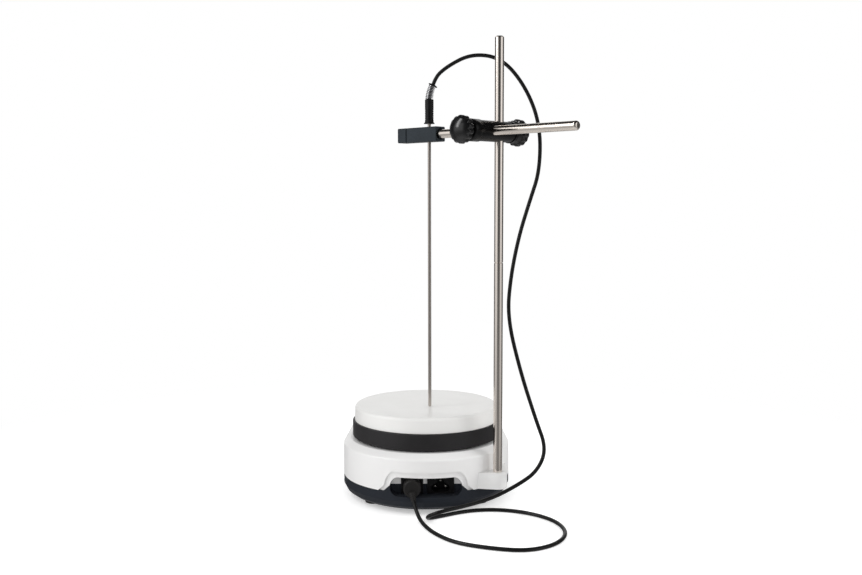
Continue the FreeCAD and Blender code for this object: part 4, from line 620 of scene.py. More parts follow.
class Surfaces:
    """Meshes worked out as whole arrays."""

    @staticmethod
    def link(name: str, data: bpy.types.ID) -> bpy.types.Object:
        """Puts a mesh, curve, lamp or camera into the scene.

        Args:
            name: the object's name.
            data: what it holds.

        Returns:
            The new object.
        """
        piece = bpy.data.objects.new(name, data)
        bpy.context.scene.collection.objects.link(piece)
        return piece

    @staticmethod
    def mesh(name: str, points: np.ndarray, faces: Sequence[Sequence[int]], smooth: bool = True) -> bpy.types.Object:
        """Puts arrays into a new object.

        Args:
            name: the piece's name.
            points: (n, 3) array in the row frame, in metres.
            faces: vertex numbers of each face.
            smooth: whether faces are shaded smooth.

        Returns:
            The new object, linked to the scene.
        """
        data = bpy.data.meshes.new(name)
        data.from_pydata(points.tolist(), [], faces)
        data.polygons.foreach_set("use_smooth", np.full(len(data.polygons), smooth))
        data.validate()
        data.update()
        return Surfaces.link(name, data)

    @staticmethod
    def closed_faces(rings: int, sides: int) -> list[list[int]]:
        """Joins successive closed rings with quads, point j of ring i to i+1, j and j+1, and shuts both ends.

        Args:
            rings: number of rings.
            sides: points in each ring.

        Returns:
            The vertex numbers of each face.
        """
        i, j = np.meshgrid(np.arange(rings - 1), np.arange(sides), indexing="ij")
        k = (j + 1) % sides
        quads = np.stack([i * sides + j, i * sides + k, (i + 1) * sides + k, (i + 1) * sides + j], axis=-1)
        last = (rings - 1) * sides
        return [*quads.reshape(-1, 4).tolist(), list(range(sides))[::-1], list(range(last, last + sides))]

    @staticmethod
    def run(path: np.ndarray) -> np.ndarray:
        """Measures how far each point of a path is from its start, along the path.

        Args:
            path: (n, 3) array of points.

        Returns:
            The n lengths.
        """
        return np.concatenate([[0.0], np.cumsum(np.linalg.norm(np.diff(path, axis=0), axis=1))])

    @staticmethod
    def lathe(name: str, profile: np.ndarray, origin: Sequence[float], axis: Sequence[float], sides: int = 64,
              inset: float | np.ndarray = 0.0) -> bpy.types.Object:
        """Turns a profile: a point at radius r and height h goes to origin + h axis + (r - d) (cos a u + sin a v).

        Args:
            name: the piece's name.
            profile: (n, 2) array of radius and height, from the bottom outwards and up to the top.
            origin: foot of the axis.
            axis: direction of the axis.
            sides: points round the axis.
            inset: how far d each point lies inside the profile, one value or an (n, sides) array.

        Returns:
            The closed piece, its poles shut.
        """
        w = np.array(Vector(axis).normalized())
        u = np.cross(w, [0.0, 0.0, 1.0]) if abs(w[2]) < 0.9 else np.cross(w, [0.0, 1.0, 0.0])
        u /= np.linalg.norm(u)
        v = np.cross(w, u)
        angle = np.linspace(0.0, 2.0 * np.pi, sides, endpoint=False)
        ring = np.cos(angle)[:, None] * u + np.sin(angle)[:, None] * v
        radius = profile[:, 0, None] - np.broadcast_to(inset, (len(profile), sides))
        points = np.array(origin) + profile[:, 1, None, None] * w + radius[:, :, None] * ring
        return Surfaces.mesh(name, points.reshape(-1, 3), Surfaces.closed_faces(len(profile), sides))

    @staticmethod
    def frames(path: np.ndarray) -> tuple[np.ndarray, np.ndarray]:
        """Carries a pair of cross directions along a path without twist.

        Args:
            path: (n, 3) array of points.

        Returns:
            Two (n, 3) arrays of unit vectors that are square to the path.
        """
        tangent = np.gradient(path, axis=0)
        tangent /= np.linalg.norm(tangent, axis=1)[:, None]
        first = np.cross(tangent[0], [0.0, 1.0, 0.1])
        across = np.empty_like(path)
        across[0] = first / np.linalg.norm(first)
        for i in range(1, len(path)):
            carried = across[i - 1] - tangent[i] * float(across[i - 1] @ tangent[i])
            across[i] = carried / np.linalg.norm(carried)
        return across, np.cross(tangent, across)

    @staticmethod
    def tube(name: str, path: np.ndarray, radius: float, sides: int = 20,
             frames: Optional[tuple[np.ndarray, np.ndarray]] = None) -> bpy.types.Object:
        """Sweeps a circle: the point at angle a of ring i is path i + r (cos a u i + sin a v i).

        Args:
            name: the piece's name.
            path: (n, 3) array of ring centres.
            radius: the circle's radius.
            sides: points round each ring.
            frames: the cross directions of each ring, if they are already known.

        Returns:
            The closed tube with a UV map that runs along it in metres, its end rings marked sharp.
        """
        u, v = frames if frames is not None else Surfaces.frames(path)
        angle = np.linspace(0.0, 2.0 * np.pi, sides, endpoint=False)[None, :, None]
        rings = path[:, None, :] + radius * (np.cos(angle) * u[:, None, :] + np.sin(angle) * v[:, None, :])
        count = len(path)
        piece = Surfaces.mesh(name, rings.reshape(-1, 3), Surfaces.closed_faces(count, sides))
        data = piece.data
        loops = np.empty(len(data.loops), dtype=np.int64)
        data.loops.foreach_get("vertex_index", loops)
        uv = np.stack([Surfaces.run(path)[loops // sides], (loops % sides) / sides], axis=-1)
        data.uv_layers.new(name="UVMap").data.foreach_set("uv", uv.astype(np.float32).ravel())
        edges = np.empty(len(data.edges) * 2, dtype=np.int64)
        data.edges.foreach_get("vertices", edges)
        ring_of = edges.reshape(-1, 2) // sides
        ends = (ring_of[:, 0] == ring_of[:, 1]) & ((ring_of[:, 0] == 0) | (ring_of[:, 0] == count - 1))
        data.attributes.new("sharp_edge", "BOOLEAN", "EDGE").data.foreach_set("value", ends)
        return piece

    @staticmethod
    def plates(name: str, outlines: Sequence[np.ndarray], thickness: float, place: Matrix) -> bpy.types.Object:
        """Makes thin plates from flat outlines: each goes from height 0 to the thickness, then to its place.

        Args:
            name: the piece's name.
            outlines: arrays of (x, y) points, anticlockwise.
            thickness: height of the plates.
            place: where the drawing plane goes.

        Returns:
            One piece that holds every plate, closed.
        """
        points: list[np.ndarray] = []
        faces: list[list[int]] = []
        offset = 0
        turn = np.array(place.to_3x3())
        move = np.array(place.translation)
        for outline in outlines:
            count = len(outline)
            low = np.column_stack([outline, np.zeros(count)])
            high = np.column_stack([outline, np.full(count, thickness)])
            points.append(np.vstack([low, high]) @ turn.T + move)
            ring = np.arange(count)
            after = (ring + 1) % count
            faces.extend((np.stack([ring, after, after + count, ring + count], axis=-1) + offset).tolist())
            faces.append((ring[::-1] + offset).tolist())
            faces.append((ring + count + offset).tolist())
            offset += 2 * count
        return Surfaces.mesh(name, np.vstack(points), faces, smooth=False)


# Sub-assemblies


@dataclass
class Assembly:
    """A group of pieces that are added to the frame."""

    frame: dict[str, Any]
    materials: dict[str, bpy.types.Material]

    def dress(self, piece: bpy.types.Object, finish: str, slot: Optional[str] = None) -> bpy.types.Object:
        """Gives a piece its finish.

        Args:
            piece: the piece.
            finish: name of the finish.
            slot: not used.

        Returns:
            The piece.
        """
        piece.data.materials.clear()
        piece.data.materials.append(self.materials[finish])
        return piece

    def fit(self, piece: bpy.types.Object, finish: str, body: str, node: Optional[str] = None,
            slot: Optional[str] = None) -> bpy.types.Object:
        """Dresses a piece that rides on one body.

        Args:
            piece: the piece.
            finish: name of the finish.
            body: the body that carries it.
            node: the solid that it stands for, if any.
            slot: the record's slot, where it has another name than the finish.

        Returns:
            The piece.
        """
        self.dress(piece, finish, slot)
        if node:
            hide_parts(node)
        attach(piece, body)
        return piece


@dataclass
class SensorCord(Assembly):
    """The probe's cord: over the rod, down beside it, round a loop on the bench and up to its plug.

    The route is one smooth line. It is cut into lengths at set heights on the way down. A length that one
    body carries rides on it; a length listed with two bodies stays fixed where it lies.
    """

    radius: float = 0.0017
    step: float = 0.0015
    cuts: tuple[float, ...] = (0.2330, 0.1740, 0.1180, 0.0620, 0.0060)
    lengths: tuple[tuple[str, tuple[str, ...]], ...] = (
        ("cord_over_rod", ("probe",)), ("cord_at_arm", ("cross_arm", "probe")),
        ("cord_at_clamp", ("clamp", "cross_arm")), ("cord_at_mast", ("mast", "clamp")),
        ("cord_above_bench", ("base", "mast")), ("cord_on_bench", ("base",)))
    route: tuple[Point, ...] = (
        (0.0036, -0.0175, 0.2826), (0.0070, -0.0175, 0.3003), (0.0195, -0.0175, 0.3120), (0.0420, -0.0200, 0.3230),
        (0.0685, -0.0250, 0.3185), (0.0895, -0.0295, 0.2930), (0.1025, -0.0335, 0.2590), (0.1025, -0.0335, 0.2180),
        (0.0935, -0.0355, 0.1910), (0.0835, -0.0385, 0.1590), (0.0760, -0.0425, 0.1220), (0.0732, -0.0460, 0.0870),
        (0.0845, -0.0510, 0.0395), (0.0980, -0.0570, -0.0030), (0.1075, -0.0615, -0.0290), (0.0985, -0.0675, -0.0480),
        (0.0800, -0.0745, -0.0585), (0.0580, -0.0805, -0.0680), (0.0350, -0.0910, -0.0714),
        (0.0133, -0.1064, -0.0714), (0.0016, -0.1018, -0.0771), (0.0016, -0.0895, -0.0833),
        (0.0156, -0.0809, -0.0833), (0.0300, -0.0715, -0.0833), (0.0470, -0.0650, -0.0833),
        (0.0690, -0.0650, -0.0833), (0.0930, -0.0750, -0.0833), (0.1130, -0.0970, -0.0833),
        (0.1180, -0.1270, -0.0833), (0.1060, -0.1540, -0.0833), (0.0810, -0.1690, -0.0833),
        (0.0520, -0.1630, -0.0833), (0.0240, -0.1500, -0.0833), (0.0075, -0.1280, -0.0833),
        (-0.0005, -0.1090, -0.0833), (-0.0050, -0.0965, -0.0820), (-0.0089, -0.0865, -0.0757),
        (-0.0106, -0.0820, -0.0700),
    )

    def line(self) -> np.ndarray:
        """Reads the smooth line of the route.

        Returns:
            (n, 3) array of points, an even step apart.
        """
        curve = bpy.data.curves.new("cord_route", "CURVE")
        curve.dimensions = "3D"
        curve.resolution_u = 24
        spline = curve.splines.new("NURBS")
        spline.points.add(len(self.route) - 1)
        spline.points.foreach_set("co", np.column_stack([self.route, np.ones(len(self.route))]).ravel())
        spline.order_u = 3
        spline.use_endpoint_u = True
        guide = Surfaces.link("cord_route", curve)
        bpy.context.view_layer.update()
        read = bpy.data.meshes.new_from_object(guide.evaluated_get(bpy.context.evaluated_depsgraph_get()))
        points = np.empty(len(read.vertices) * 3)
        read.vertices.foreach_get("co", points)
        bpy.data.objects.remove(guide)
        bpy.data.curves.remove(curve)
        bpy.data.meshes.remove(read)
        points = points.reshape(-1, 3)
        run = Surfaces.run(points)
        even = np.linspace(0.0, run[-1], int(run[-1] / self.step) + 1)
        return np.column_stack([np.interp(even, run, points[:, k]) for k in range(3)])

    def build(self) -> None:
        """Makes the lengths of cord, from the probe to the plug, and says what each is."""
        line = self.line()
        frames = Surfaces.frames(line)
        top = int(np.argmax(line[:, 2]))
        marks = [0] + [top + int(np.argmax(line[top:, 2] < height)) for height in self.cuts] + [len(line) - 1]
        for k, (name, bodies) in enumerate(self.lengths):
            part = slice(marks[k], marks[k + 1] + 1)
            path = line[part]
            piece = Surfaces.tube(name, path, self.radius, frames=(frames[0][part], frames[1][part]))
            self.dress(piece, "cord_black")
            if len(bodies) == 1:
                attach(piece, bodies[0])
            else:
                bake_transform(piece)
            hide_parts("sensor_cord_upper" if k == 0 else "sensor_cord_lower")
            float(Surfaces.run(path)[-1])
            LOG.info("%s: %.0f mm of cord", name, Surfaces.run(path)[-1] * 1000.0)


@dataclass
class ReliefSpring(Assembly):
    """The coil spring and the small disc where the cord leaves the handle, bent over with the cord."""

    foot: Point = (0.00356, -0.01747, 0.28270)
    length: float = 0.0122
    lean_start: float = math.radians(3.0)
    lean_end: float = math.radians(26.0)
    coil_radius: float = 0.0033
    coil_narrowing: float = 0.10
    coil_lift: float = 0.0004
    wire_radius: float = 0.00036
    turns: float = 9.0
    count: int = 340
    disc_bore: float = 0.0017
    disc_radius: float = 0.0042
    disc_height: float = 0.0013

    def centre(self) -> tuple[np.ndarray, np.ndarray]:
        """Works out the bent centre line: its lean grows evenly from one end to the other.

        Returns:
            The (n, 3) points and the (n, 3) directions.
        """
        share = np.linspace(0.0, 1.0, self.count)
        lean = self.lean_start + (self.lean_end - self.lean_start) * share
        way = np.stack([np.sin(lean), np.zeros(self.count), np.cos(lean)], axis=-1)
        steps = way * (self.length / (self.count - 1))
        return np.array(self.foot) + np.cumsum(steps, axis=0) - steps[0], way

    def build(self) -> None:
        """Makes the coil, which narrows a little towards the disc, and the disc."""
        centre, way = self.centre()
        across = np.tile([0.0, 1.0, 0.0], (self.count, 1))
        angle = np.linspace(0.0, 2.0 * np.pi * self.turns, self.count)[:, None]
        radius = self.coil_radius * (1.0 - self.coil_narrowing * np.linspace(0.0, 1.0, self.count))[:, None]
        helix = centre + radius * (np.cos(angle) * across + np.sin(angle) * np.cross(way, across))
        helix[:, 2] += self.coil_lift
        coil = Surfaces.tube("spring_coil", helix, self.wire_radius, sides=10)
        self.fit(coil, "spring_steel", "probe", node="relief_spring")
        bore, r, h = self.disc_bore, self.disc_radius, self.disc_height
        profile = np.array([(bore, 0.0), (r * 0.8, 0.0), (r, h * 0.25), (r, h * 0.75), (r * 0.8, h), (bore + 0.0006, h),
                            (bore, h * 1.6)])
        disc = Surfaces.lathe("cord_disc", profile, centre[-1], way[-1], sides=40)
        self.fit(disc, "black_moulding", "probe", node="relief_collar")
        LOG.info("relief spring: %.1f turns", self.turns)


@dataclass
class StarKnobs(Assembly):
    """The two knobs of the cross clamp: a wide glossy dome on a fluted rim, on the axis of the clamp's bar.

    The photograph's bar reaches 8 mm farther to the front than the solid, so a sleeve lengthens it there.
    """

    crossing: Point = (0.0643, -0.0570, 0.2510)
    heading: float = math.radians(225.0)
    rod_end: float = 0.0170
    cross_end: float = 0.0400
    sleeve_start: float = 0.0280
    sleeve_radius: float = 0.0096
    flutes: int = 14
    flute_depth: float = 0.0013
    flute_spread: float = 0.095
    rim: float = 0.0120
    dome: float = 0.0112
    ball: float = 0.0159
    top: float = 0.0153
    dome_rows: int = 24
    sides: int = 196

    def profile(self) -> tuple[np.ndarray, np.ndarray]:
        """Works out the outline from the hub over the rim and the dome to the pole.

        The dome is part of a ball: at an angle b from the pole, the radius is ball sin b and the height is
        top - ball (1 - cos b).

        Returns:
            An (n, 2) array of radius and height, and n shares of the full depth of the flutes.
        """
        rim = self.rim
        hub = np.array([(0.0058, 0.0006, 0.0), (0.0062, 0.0007, 0.0), (0.0078, 0.0023, 0.0), (0.0094, 0.0039, 0.0),
                        (0.0097, 0.0041, 0.1), (rim - 0.0014, 0.0042, 0.45), (rim - 0.0006, 0.0045, 0.8),
                        (rim - 0.0001, 0.0051, 1.0), (rim, 0.0058, 1.0), (rim, 0.0076, 1.0), (rim, 0.0092, 0.95),
                        (rim - 0.0001, 0.0097, 0.85), (rim - 0.0004, 0.0102, 0.65)])
        angle = np.linspace(math.asin(self.dome / self.ball), 0.02, self.dome_rows)
        share = np.clip(1.0 - np.arange(self.dome_rows) / 3.0, 0.0, 1.0) * 0.4
        cap = np.column_stack([self.ball * np.sin(angle), self.top - self.ball * (1.0 - np.cos(angle)), share])
        rows = np.vstack([hub, cap])
        return rows[:, :2], rows[:, 2]

    def build(self) -> None:
        """Makes both knobs and the sleeve.

        Each flute is a hollow exp(-(a / spread)^2) deep, by the angle a from its middle.
        """
        profile, share = self.profile()
        pitch = 2.0 * math.pi / self.flutes
        angle = np.linspace(0.0, 2.0 * np.pi, self.sides, endpoint=False)
        off = (angle + pitch / 2.0) % pitch - pitch / 2.0
        inset = self.flute_depth * share[:, None] * np.exp(-(off / self.flute_spread) ** 2)
        front = Vector((math.cos(self.heading), math.sin(self.heading), 0.0))
        middle = Vector(self.crossing)
        for name, body, reach, way in (("rod_star_knob", "rod_clamp", self.rod_end, -front),
                                       ("cross_star_knob", "cross_clamp", self.cross_end, front)):
            knob = Surfaces.lathe(name, profile, middle + way * reach, way, self.sides, inset)
            self.fit(knob, "black_knob", body, node=f"{body}_knob")
        r, reach = self.sleeve_radius, self.cross_end - self.sleeve_start
        ring = np.array([(r - 0.0006, 0.0), (r, 0.0004), (r, reach - 0.0012), (r - 0.0003, reach - 0.0006),
                         (r - 0.0012, reach)])
        sleeve = Surfaces.lathe("clamp_sleeve", ring, middle + front * self.sleeve_start, front, 96)
        self.fit(sleeve, "black_casting", "clamp")
        LOG.info("clamp: two star knobs and a sleeve")


@dataclass
class ProbeGrip(Assembly):
    """The grip block and its end cap, 6 mm shorter beyond the probe than the solids, as in the photograph."""

    rod_start: Point = (0.0537, -0.0676, 0.2510)
    heading: float = math.radians(135.0)
    kept: float = 0.073
    block_share: float = 0.830
    cap_share: float = 0.855

    def build(self) -> None:
        """Makes both: past the kept length along the cross rod, every distance shrinks by the piece's share.

        They keep the bores, chamfers and tongue of the nodes that they stand for. The block's share is the
        smaller one, which opens the dark slot before the cap.
        """
        way = np.array((math.cos(self.heading), math.sin(self.heading), 0.0))
        for name, node, share in (("grip_block", "probe_holder", self.block_share),
                                  ("grip_cap", "holder_cap", self.cap_share)):
            mesh = self.frame["nodes"][node].data.copy()
            points = np.empty(3 * len(mesh.vertices), dtype=np.float32)
            mesh.vertices.foreach_get("co", points)
            points = points.reshape(-1, 3)
            past = np.maximum((points - np.array(self.rod_start)) @ way - self.kept, 0.0)
            points = points - ((1.0 - share) * past)[:, None] * way
            mesh.vertices.foreach_set("co", points.astype(np.float32).ravel())
            mesh.update()
            self.fit(Surfaces.link(name, mesh), "slate_block", "cross_arm", node=node)
        LOG.info("probe grip: block and cap")


@dataclass
class SocketPlug(Assembly):
    """The ribbed boot of the sensor plug."""

    start: Point = (-0.0122, -0.07749, -0.06421)
    angle: float = math.radians(50.0)
    turn: float = math.radians(20.0)
    length: float = 0.0075
    wide: float = 0.0033
    narrow: float = 0.0022
    groove: float = 0.0003
    rings: int = 4
    rows: int = 61

    def build(self) -> None:
        """Makes the boot: its radius falls evenly from wide to narrow, with a groove after each ring."""
        flat = math.cos(self.angle)
        way = (flat * math.sin(self.turn), -flat * math.cos(self.turn), -math.sin(self.angle))
        share = np.linspace(0.0, 1.0, self.rows)
        wave = 0.5 + 0.5 * np.cos(2.0 * np.pi * self.rings * share)
        radius = self.wide + (self.narrow - self.wide) * share - self.groove * (1.0 - wave) ** 2
        boot = Surfaces.lathe("ribbed_boot", np.column_stack([radius, share * self.length]), self.start, way, sides=40)
        self.fit(boot, "plug_rubber", "base", node="plug_boot", slot="black_moulding")
        LOG.info("plug boot: %d rings", self.rings)


@dataclass
class ControlFascia(Assembly):
    """The marks on the sloping panel: scales round the knobs, display digits, lamps and switch marks."""

    slope: float = math.atan2(23.5, 63.0)
    centre: Point = (0.0, 0.1325, -0.04225)
    proud: float = 0.0003
    window_proud: float = 0.0008
    sunk: float = 0.00002
    knob_x: float = 0.042
    knob_skirt: float = 0.0145
    knob_top: float = 0.01322
    window_x: float = 0.0115
    window_y: float = -0.010
    digit_height: float = 0.0075
    lamp_x: float = 0.0175
    lamp_y: float = 0.0100
    lamp_sunk: float = 0.0001
    rocker_y: float = 0.0125
    ticks: int = 11
    tick_long: float = 0.0026
    tick_short: float = 0.0016
    tick_width: float = 0.0006
    tick_gap: float = 0.0012
    number_gap: float = 0.0056
    number_height: float = 0.0026
    pointer_length: float = 0.0044
    pointer_width: float = 0.0010
    pointer_from: float = 0.0059
    ring_corners: int = 28
    mark: float = 0.00012

    def plane(self, x: float, y: float, lift: float) -> Matrix:
        """Works out a place on the slope. Drawings there read upright for someone who stands at the panel.

        Args:
            x: distance to the side in metres, in the row frame.
            y: distance down the slope.
            lift: height above the housing's slope.

        Returns:
            The matrix that takes the drawing plane there.
        """
        down = Vector((0.0, math.cos(self.slope), -math.sin(self.slope)))
        normal = Vector((0.0, math.sin(self.slope), math.cos(self.slope)))
        right = Vector((-1.0, 0.0, 0.0))
        spot = Vector(self.centre) + Vector((x, 0.0, 0.0)) + down * y + normal * lift
        return Matrix.Translation(spot) @ Matrix((right, -down, normal)).transposed().to_4x4()

    @staticmethod
    def bar(length: float, width: float, angle: float, distance: float) -> np.ndarray:
        """Draws a radial bar: a rectangle turned to an angle at a distance from the centre.

        Args:
            length: its length outwards, in metres.
            width: its width.
            angle: how far it is turned, in radians.
            distance: where it starts, from the centre.

        Returns:
            The four corners.
        """
        corners = np.array([(-width / 2, 0.0), (width / 2, 0.0), (width / 2, length), (-width / 2, length)])
        corners[:, 1] += distance
        c, s = math.cos(angle), math.sin(angle)
        return corners @ np.array([[c, s], [-s, c]])

    @staticmethod
    def digit(value: int, height: float) -> list[np.ndarray]:
        """Draws one seven-segment digit: each lit segment is a slim hexagon.

        Args:
            value: the digit.
            height: its height in metres.

        Returns:
            The outlines of the lit segments.
        """
        lit = ("abcdef", "bc", "abged", "abgcd", "fgbc", "afgcd", "afgedc", "abc", "abcdefg", "abcdfg")[value]
        wide, tall, thick = height * 0.5, height / 2, height * 0.11
        ends = {"a": ((0, 2), (1, 2)), "b": ((1, 1), (1, 2)), "c": ((1, 0), (1, 1)), "d": ((0, 0), (1, 0)),
                "e": ((0, 0), (0, 1)), "f": ((0, 1), (0, 2)), "g": ((0, 1), (1, 1))}
        drawn = []
        for name in lit:
            a, b = (np.array([p[0] * wide, p[1] * tall - tall]) for p in ends[name])
            way = (b - a) / np.linalg.norm(b - a)
            side = np.array([-way[1], way[0]]) * thick / 2
            a, b = a + way * thick * 0.35, b - way * thick * 0.35
            drawn.append(np.array([a, a + way * thick / 2 - side, b - way * thick / 2 - side, b,
                                   b - way * thick / 2 + side, a + way * thick / 2 + side]))
        return drawn

    def number(self, text: str, height: float, place: Matrix, name: str) -> bpy.types.Object:
        """Sets a number in segments, centred on its place.

        Args:
            text: digits only.
            height: digit height in metres.
            place: where the middle of the number goes.
            name: the piece's name.

        Returns:
            The piece.
        """
        pitch = height * 0.78
        outlines = []
        for k, sign in enumerate(text):
            shift = np.array([(k - (len(text) - 1) / 2) * pitch - height * 0.25, 0.0])
            outlines.extend(outline + shift for outline in self.digit(int(sign), height))
        return Surfaces.plates(name, outlines, self.mark, place)

    def dial_marks(self, x: float, side: str) -> None:
        """Draws the scale round one knob, its numbers and the lamp beside it.

        The scale's bars go over three quarters of a circle, each fifth one longer.

        Args:
            x: where the knob is, to the side.
            side: the knob's name.
        """
        lift = self.proud - self.sunk
        angles = np.radians(np.linspace(135.0, -135.0, self.ticks))
        bars = [self.bar(self.tick_short if k % 5 else self.tick_long, self.tick_width, float(a),
                         self.knob_skirt + self.tick_gap) for k, a in enumerate(angles)]
        scale = Surfaces.plates(f"{side}_scale", bars, self.mark, self.plane(x, 0.0, lift))
        self.fit(scale, "print_white", "base", slot="panel_grey")
        for text, angle in (("0", 135.0), ("5", 0.0), ("10", -135.0)):
            a, reach = math.radians(angle), self.knob_skirt + self.number_gap
            spot = self.plane(x + math.sin(a) * reach, -math.cos(a) * reach, lift)
            self.fit(self.number(text, self.number_height, spot, f"{side}_scale_{text}"), "print_white", "base",
                     slot="panel_grey")
        spot = self.plane(math.copysign(self.lamp_x, x), self.lamp_y, self.proud - self.lamp_sunk)
        dome = np.array([(0.0014, 0.0), (0.0014, 0.0002), (0.0012, 0.0005), (0.0007, 0.0008), (0.0001, 0.0009)])
        bead = Surfaces.lathe(f"{side}_lamp", dome, spot.translation, spot.to_3x3().col[2], sides=24)
        self.fit(bead, f"{side}_lamp", "base", slot="panel_grey")

    def switch_marks(self) -> None:
        """Draws the bar for on and the ring for off, each on its own half of the rocker."""
        bar = [np.array([(-0.0003, -0.0014), (0.0003, -0.0014), (0.0003, 0.0014), (-0.0003, 0.0014)])]
        angle = np.linspace(0.0, 2.0 * np.pi, self.ring_corners + 1)
        rim = np.column_stack([np.cos(angle), np.sin(angle)])
        ring = [np.array([a * 0.0010, a * 0.0015, b * 0.0015, b * 0.0010]) for a, b in zip(rim[:-1], rim[1:])]
        for name, outlines, x, lift, tilt in (("switch_mark_off", ring, 0.00373, 0.00140, 1.8),
                                              ("switch_mark_on", bar, -0.00320, 0.00238, -17.8)):
            place = self.plane(x, self.rocker_y, lift) @ Matrix.Rotation(math.radians(tilt), 4, "Y")
            self.fit(Surfaces.plates(name, outlines, self.mark, place), "print_white", "rocker", slot="black_moulding")

    def build(self) -> None:
        """Makes every mark."""
        sides = (("heat", self.knob_x, "120"), ("stir", -self.knob_x, "500"))
        for side, x, _ in sides:
            self.dial_marks(x, side)
        for side, x, text in sides:
            spot = self.plane(math.copysign(self.window_x, x), self.window_y, self.window_proud - self.sunk)
            self.fit(self.number(text, self.digit_height, spot, f"{side}_digits"), "segments", "base",
                     slot="display_dark")
        self.switch_marks()
        for side, x, _ in sides:
            line = self.bar(self.pointer_length, self.pointer_width, 0.0, self.pointer_from)
            pointer = Surfaces.plates(f"{side}_dial_pointer", [line], 4.0 * self.mark,
                                      self.plane(x, 0.0, self.knob_top))
            self.fit(pointer, "print_white", f"{side}_dial", slot="black_moulding")
        LOG.info("fascia: marks, digits, lamps and pointers")


@dataclass
class FrameDress(Assembly):
    """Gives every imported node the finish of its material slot."""

    own: dict[str, str] = field(default_factory=lambda: {"cross_rod": "cross_steel", "sensor_plug": "plug_rubber"})

    def build(self) -> None:
        """Sets the materials."""
        slots = {entry["node"]: entry["material_slot"] for entry in self.frame["record"]["subparts"]}
        for name, node in self.frame["nodes"].items():
            material = self.materials[self.own.get(name, slots[name])]
            if not node.material_slots:
                node.data.materials.append(material)
            for place in node.material_slots:
                place.material = material
        LOG.info("frame: %d nodes dressed", len(slots))


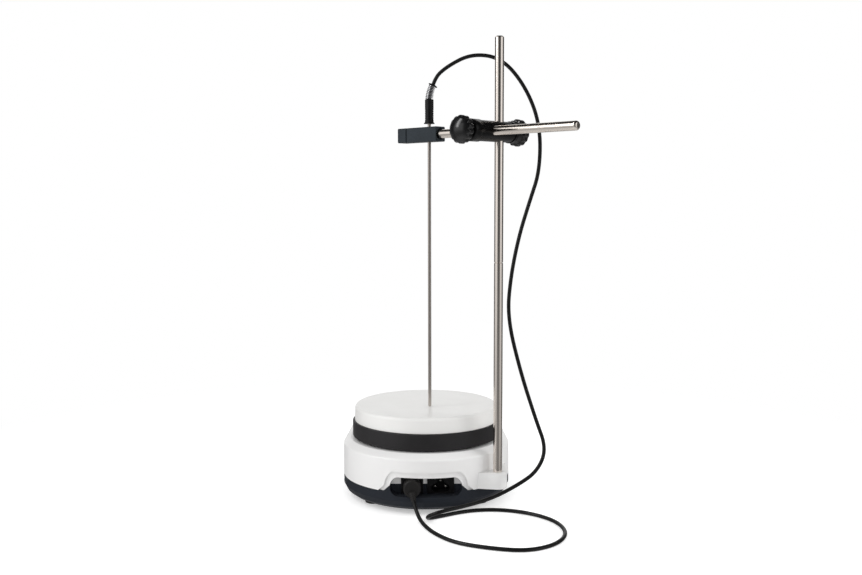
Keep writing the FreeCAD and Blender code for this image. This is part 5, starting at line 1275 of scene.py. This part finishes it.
@dataclass
class Studio:
    """The white bench and backdrop, the lamps and the camera."""

    camera_place: Point = (0.00484, -0.935, 0.196)
    pitch: float = math.radians(5.26)
    roll: float = math.radians(-0.1)
    lens: float = 41.763
    floor_half: float = 6.0
    ambient: float = 0.69
    white_near: float = 0.38
    white_from: float = 0.20
    white_to: float = 0.60
    mirrored_lamp: str = "high_left_box"
    lamp_target: Point = (0.0, 0.0, 0.1)
    lamps: dict[str, tuple[Point, Span, float]] = field(default_factory=lambda: {
        "high_left_box": ((-0.85, -0.31, 0.85), (0.30, 0.90), 4.6),
        "left_box": ((-0.90, -0.80, 0.45), (0.60, 1.00), 2.2),
        "front_box": ((0.00, -1.50, 0.35), (1.20, 0.60), 2.5),
        "right_box": ((1.30, -0.05, 0.50), (0.45, 0.90), 9.0),
    })

    @staticmethod
    def seen(w: Wiring, groups: EffectGroups, direction: bpy.types.NodeSocket,
             rays: bpy.types.Node) -> tuple[bpy.types.NodeSocket, bpy.types.NodeSocket]:
        """Tells how bright the bench or the surroundings look: white by themselves, the room in metal and gloss.

        Args:
            w: the wiring of the bench or the world.
            groups: the shared shader node groups.
            direction: the direction that a ray goes in.
            rays: the Light Path node.

        Returns:
            1 for what the camera sees straight or through glass, and the level for all rays.
        """
        room = w.group(groups.room, {"Direction": direction}).outputs["Level"]
        straight = w.math("MAXIMUM", rays.outputs["Is Camera Ray"], rays.outputs["Is Transmission Ray"])
        mirrored = w.math("MULTIPLY", rays.outputs["Is Glossy Ray"], room)
        return straight, w.math("MAXIMUM", straight, mirrored)

    def floor(self, groups: EffectGroups) -> bpy.types.Object:
        """Makes the bench: white where nothing shades it, with the object's shadow kept.

        Args:
            groups: the shared shader node groups.

        Returns:
            The bench. Metal mirrors the studio in it.
        """
        h = self.floor_half
        points = np.array([(-h, -h, BENCH_Z), (h, -h, BENCH_Z), (h, h, BENCH_Z), (-h, h, BENCH_Z)])
        plane = Surfaces.mesh("bench", points, [[0, 1, 2, 3]], smooth=False)
        material = bpy.data.materials.new("Bench")
        material.use_nodes = True
        w = Wiring(material.node_tree)
        white = (1.0, 1.0, 1.0, 1.0)
        place = w.place()
        noise = w.add("TexNoise", inputs={"Vector": place, "Scale": 30.0}).outputs["Fac"]
        shader = w.add("BsdfPrincipled", inputs={"Base Color": (0.92, 0.92, 0.92, 1.0), "Specular IOR Level": 0.1,
                                                 "Roughness": w.remap(noise, (0.0, 1.0), (0.5, 0.6))})
        onward = w.add("VectorMath", {"operation": "SCALE"}, {0: w.add("NewGeometry").outputs["Incoming"],
                                                              "Scale": -1.0}).outputs[0]
        rays = w.add("LightPath")
        straight, level = self.seen(w, groups, onward, rays)
        glow = w.add("Emission", inputs={"Color": white, "Strength": level})
        reach = w.add("VectorMath", {"operation": "LENGTH"}, {0: place}).outputs["Value"]
        far = w.math("MULTIPLY", straight, w.remap(reach, (self.white_from, self.white_to), smooth=True))
        share = w.math("MAXIMUM", far, rays.outputs["Is Glossy Ray"])
        fill = w.add("Emission", inputs={"Color": white, "Strength": w.math("MULTIPLY", straight, self.white_near)})
        near = w.add("AddShader", inputs={0: shader.outputs["BSDF"], 1: fill.outputs["Emission"]})
        mixed = w.add("MixShader", inputs={0: share, 1: near.outputs[0], 2: glow.outputs["Emission"]})
        w.add("OutputMaterial", inputs={"Surface": mixed.outputs[0]})
        plane.data.materials.append(material)
        return plane

    def world(self, groups: EffectGroups) -> None:
        """Makes the surroundings: white to the camera, a dim even light, and the room for metal.

        Args:
            groups: the shared shader node groups.
        """
        world = bpy.data.worlds.new("Studio")
        bpy.context.scene.world = world
        world.use_nodes = True
        w = Wiring(world.node_tree)
        rays = w.add("LightPath")
        bright = self.seen(w, groups, w.add("TexCoord").outputs["Generated"], rays)[1]
        level = w.math("MAXIMUM", bright, w.math("MULTIPLY", rays.outputs["Is Diffuse Ray"], self.ambient))
        back = w.add("Background", inputs={"Color": (1.0, 1.0, 1.0, 1.0), "Strength": level})
        w.add("OutputWorld", inputs={"Surface": back.outputs["Background"]})

    def lamp(self, name: str, place: Point, size: Span, power: float) -> bpy.types.Object:
        """Hangs a soft lamp that faces the object. Only one lamp is mirrored in gloss.

        Args:
            name: the lamp's name.
            place: where it hangs.
            size: its width and height in metres.
            power: its power in watts.

        Returns:
            The lamp.
        """
        light = bpy.data.lights.new(name, "AREA")
        light.shape = "RECTANGLE"
        light.size, light.size_y = size
        light.energy = power
        lamp = Surfaces.link(name, light)
        aim = Vector(self.lamp_target) - Vector(place)
        lamp.matrix_world = Matrix.Translation(place) @ aim.to_track_quat("-Z", "Y").to_matrix().to_4x4()
        lamp.visible_glossy = name == self.mirrored_lamp
        return lamp

    def camera(self) -> bpy.types.Object:
        """Sets the camera where the photograph was taken: level with the rod's middle, looking slightly down.

        Returns:
            The camera, which is the scene's own.
        """
        data = bpy.data.cameras.new("camera")
        data.sensor_fit = "HORIZONTAL"
        data.sensor_width = 36.0
        data.lens = self.lens
        data.clip_end = 50.0
        camera = Surfaces.link("camera", data)
        aim = Matrix.Rotation(math.radians(90.0) - self.pitch, 4, "X") @ Matrix.Rotation(self.roll, 4, "Z")
        camera.matrix_world = Matrix.Translation(self.camera_place) @ aim
        bpy.context.scene.camera = camera
        return camera

    def build(self, groups: EffectGroups) -> None:
        """Makes the bench, the surroundings, the lamps and the camera.

        Args:
            groups: the shared shader node groups.
        """
        bpy.context.scene.view_settings.view_transform = "Standard"
        self.floor(groups)
        self.world(groups)
        self.camera()
        for name, (place, size, power) in self.lamps.items():
            self.lamp(name, place, size, power)
        LOG.info("studio: bench, %d lamps and camera", len(self.lamps))


def main() -> None:
    """Loads the frame, dresses it, adds the pieces that the solids lack and lights the scene."""
    logging.basicConfig(level=logging.INFO, format="%(name)s: %(message)s")
    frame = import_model()
    groups = EffectGroups()
    materials = {slot: finish.build(groups) for slot, finish in stirrer_finishes().items()}
    FrameDress(frame, materials).build()
    Studio().build(groups)
    for assembly in (SensorCord, ReliefSpring, StarKnobs, ProbeGrip, SocketPlug, ControlFascia):
        assembly(frame, materials).build()


if __name__ == "__main__":
    main()
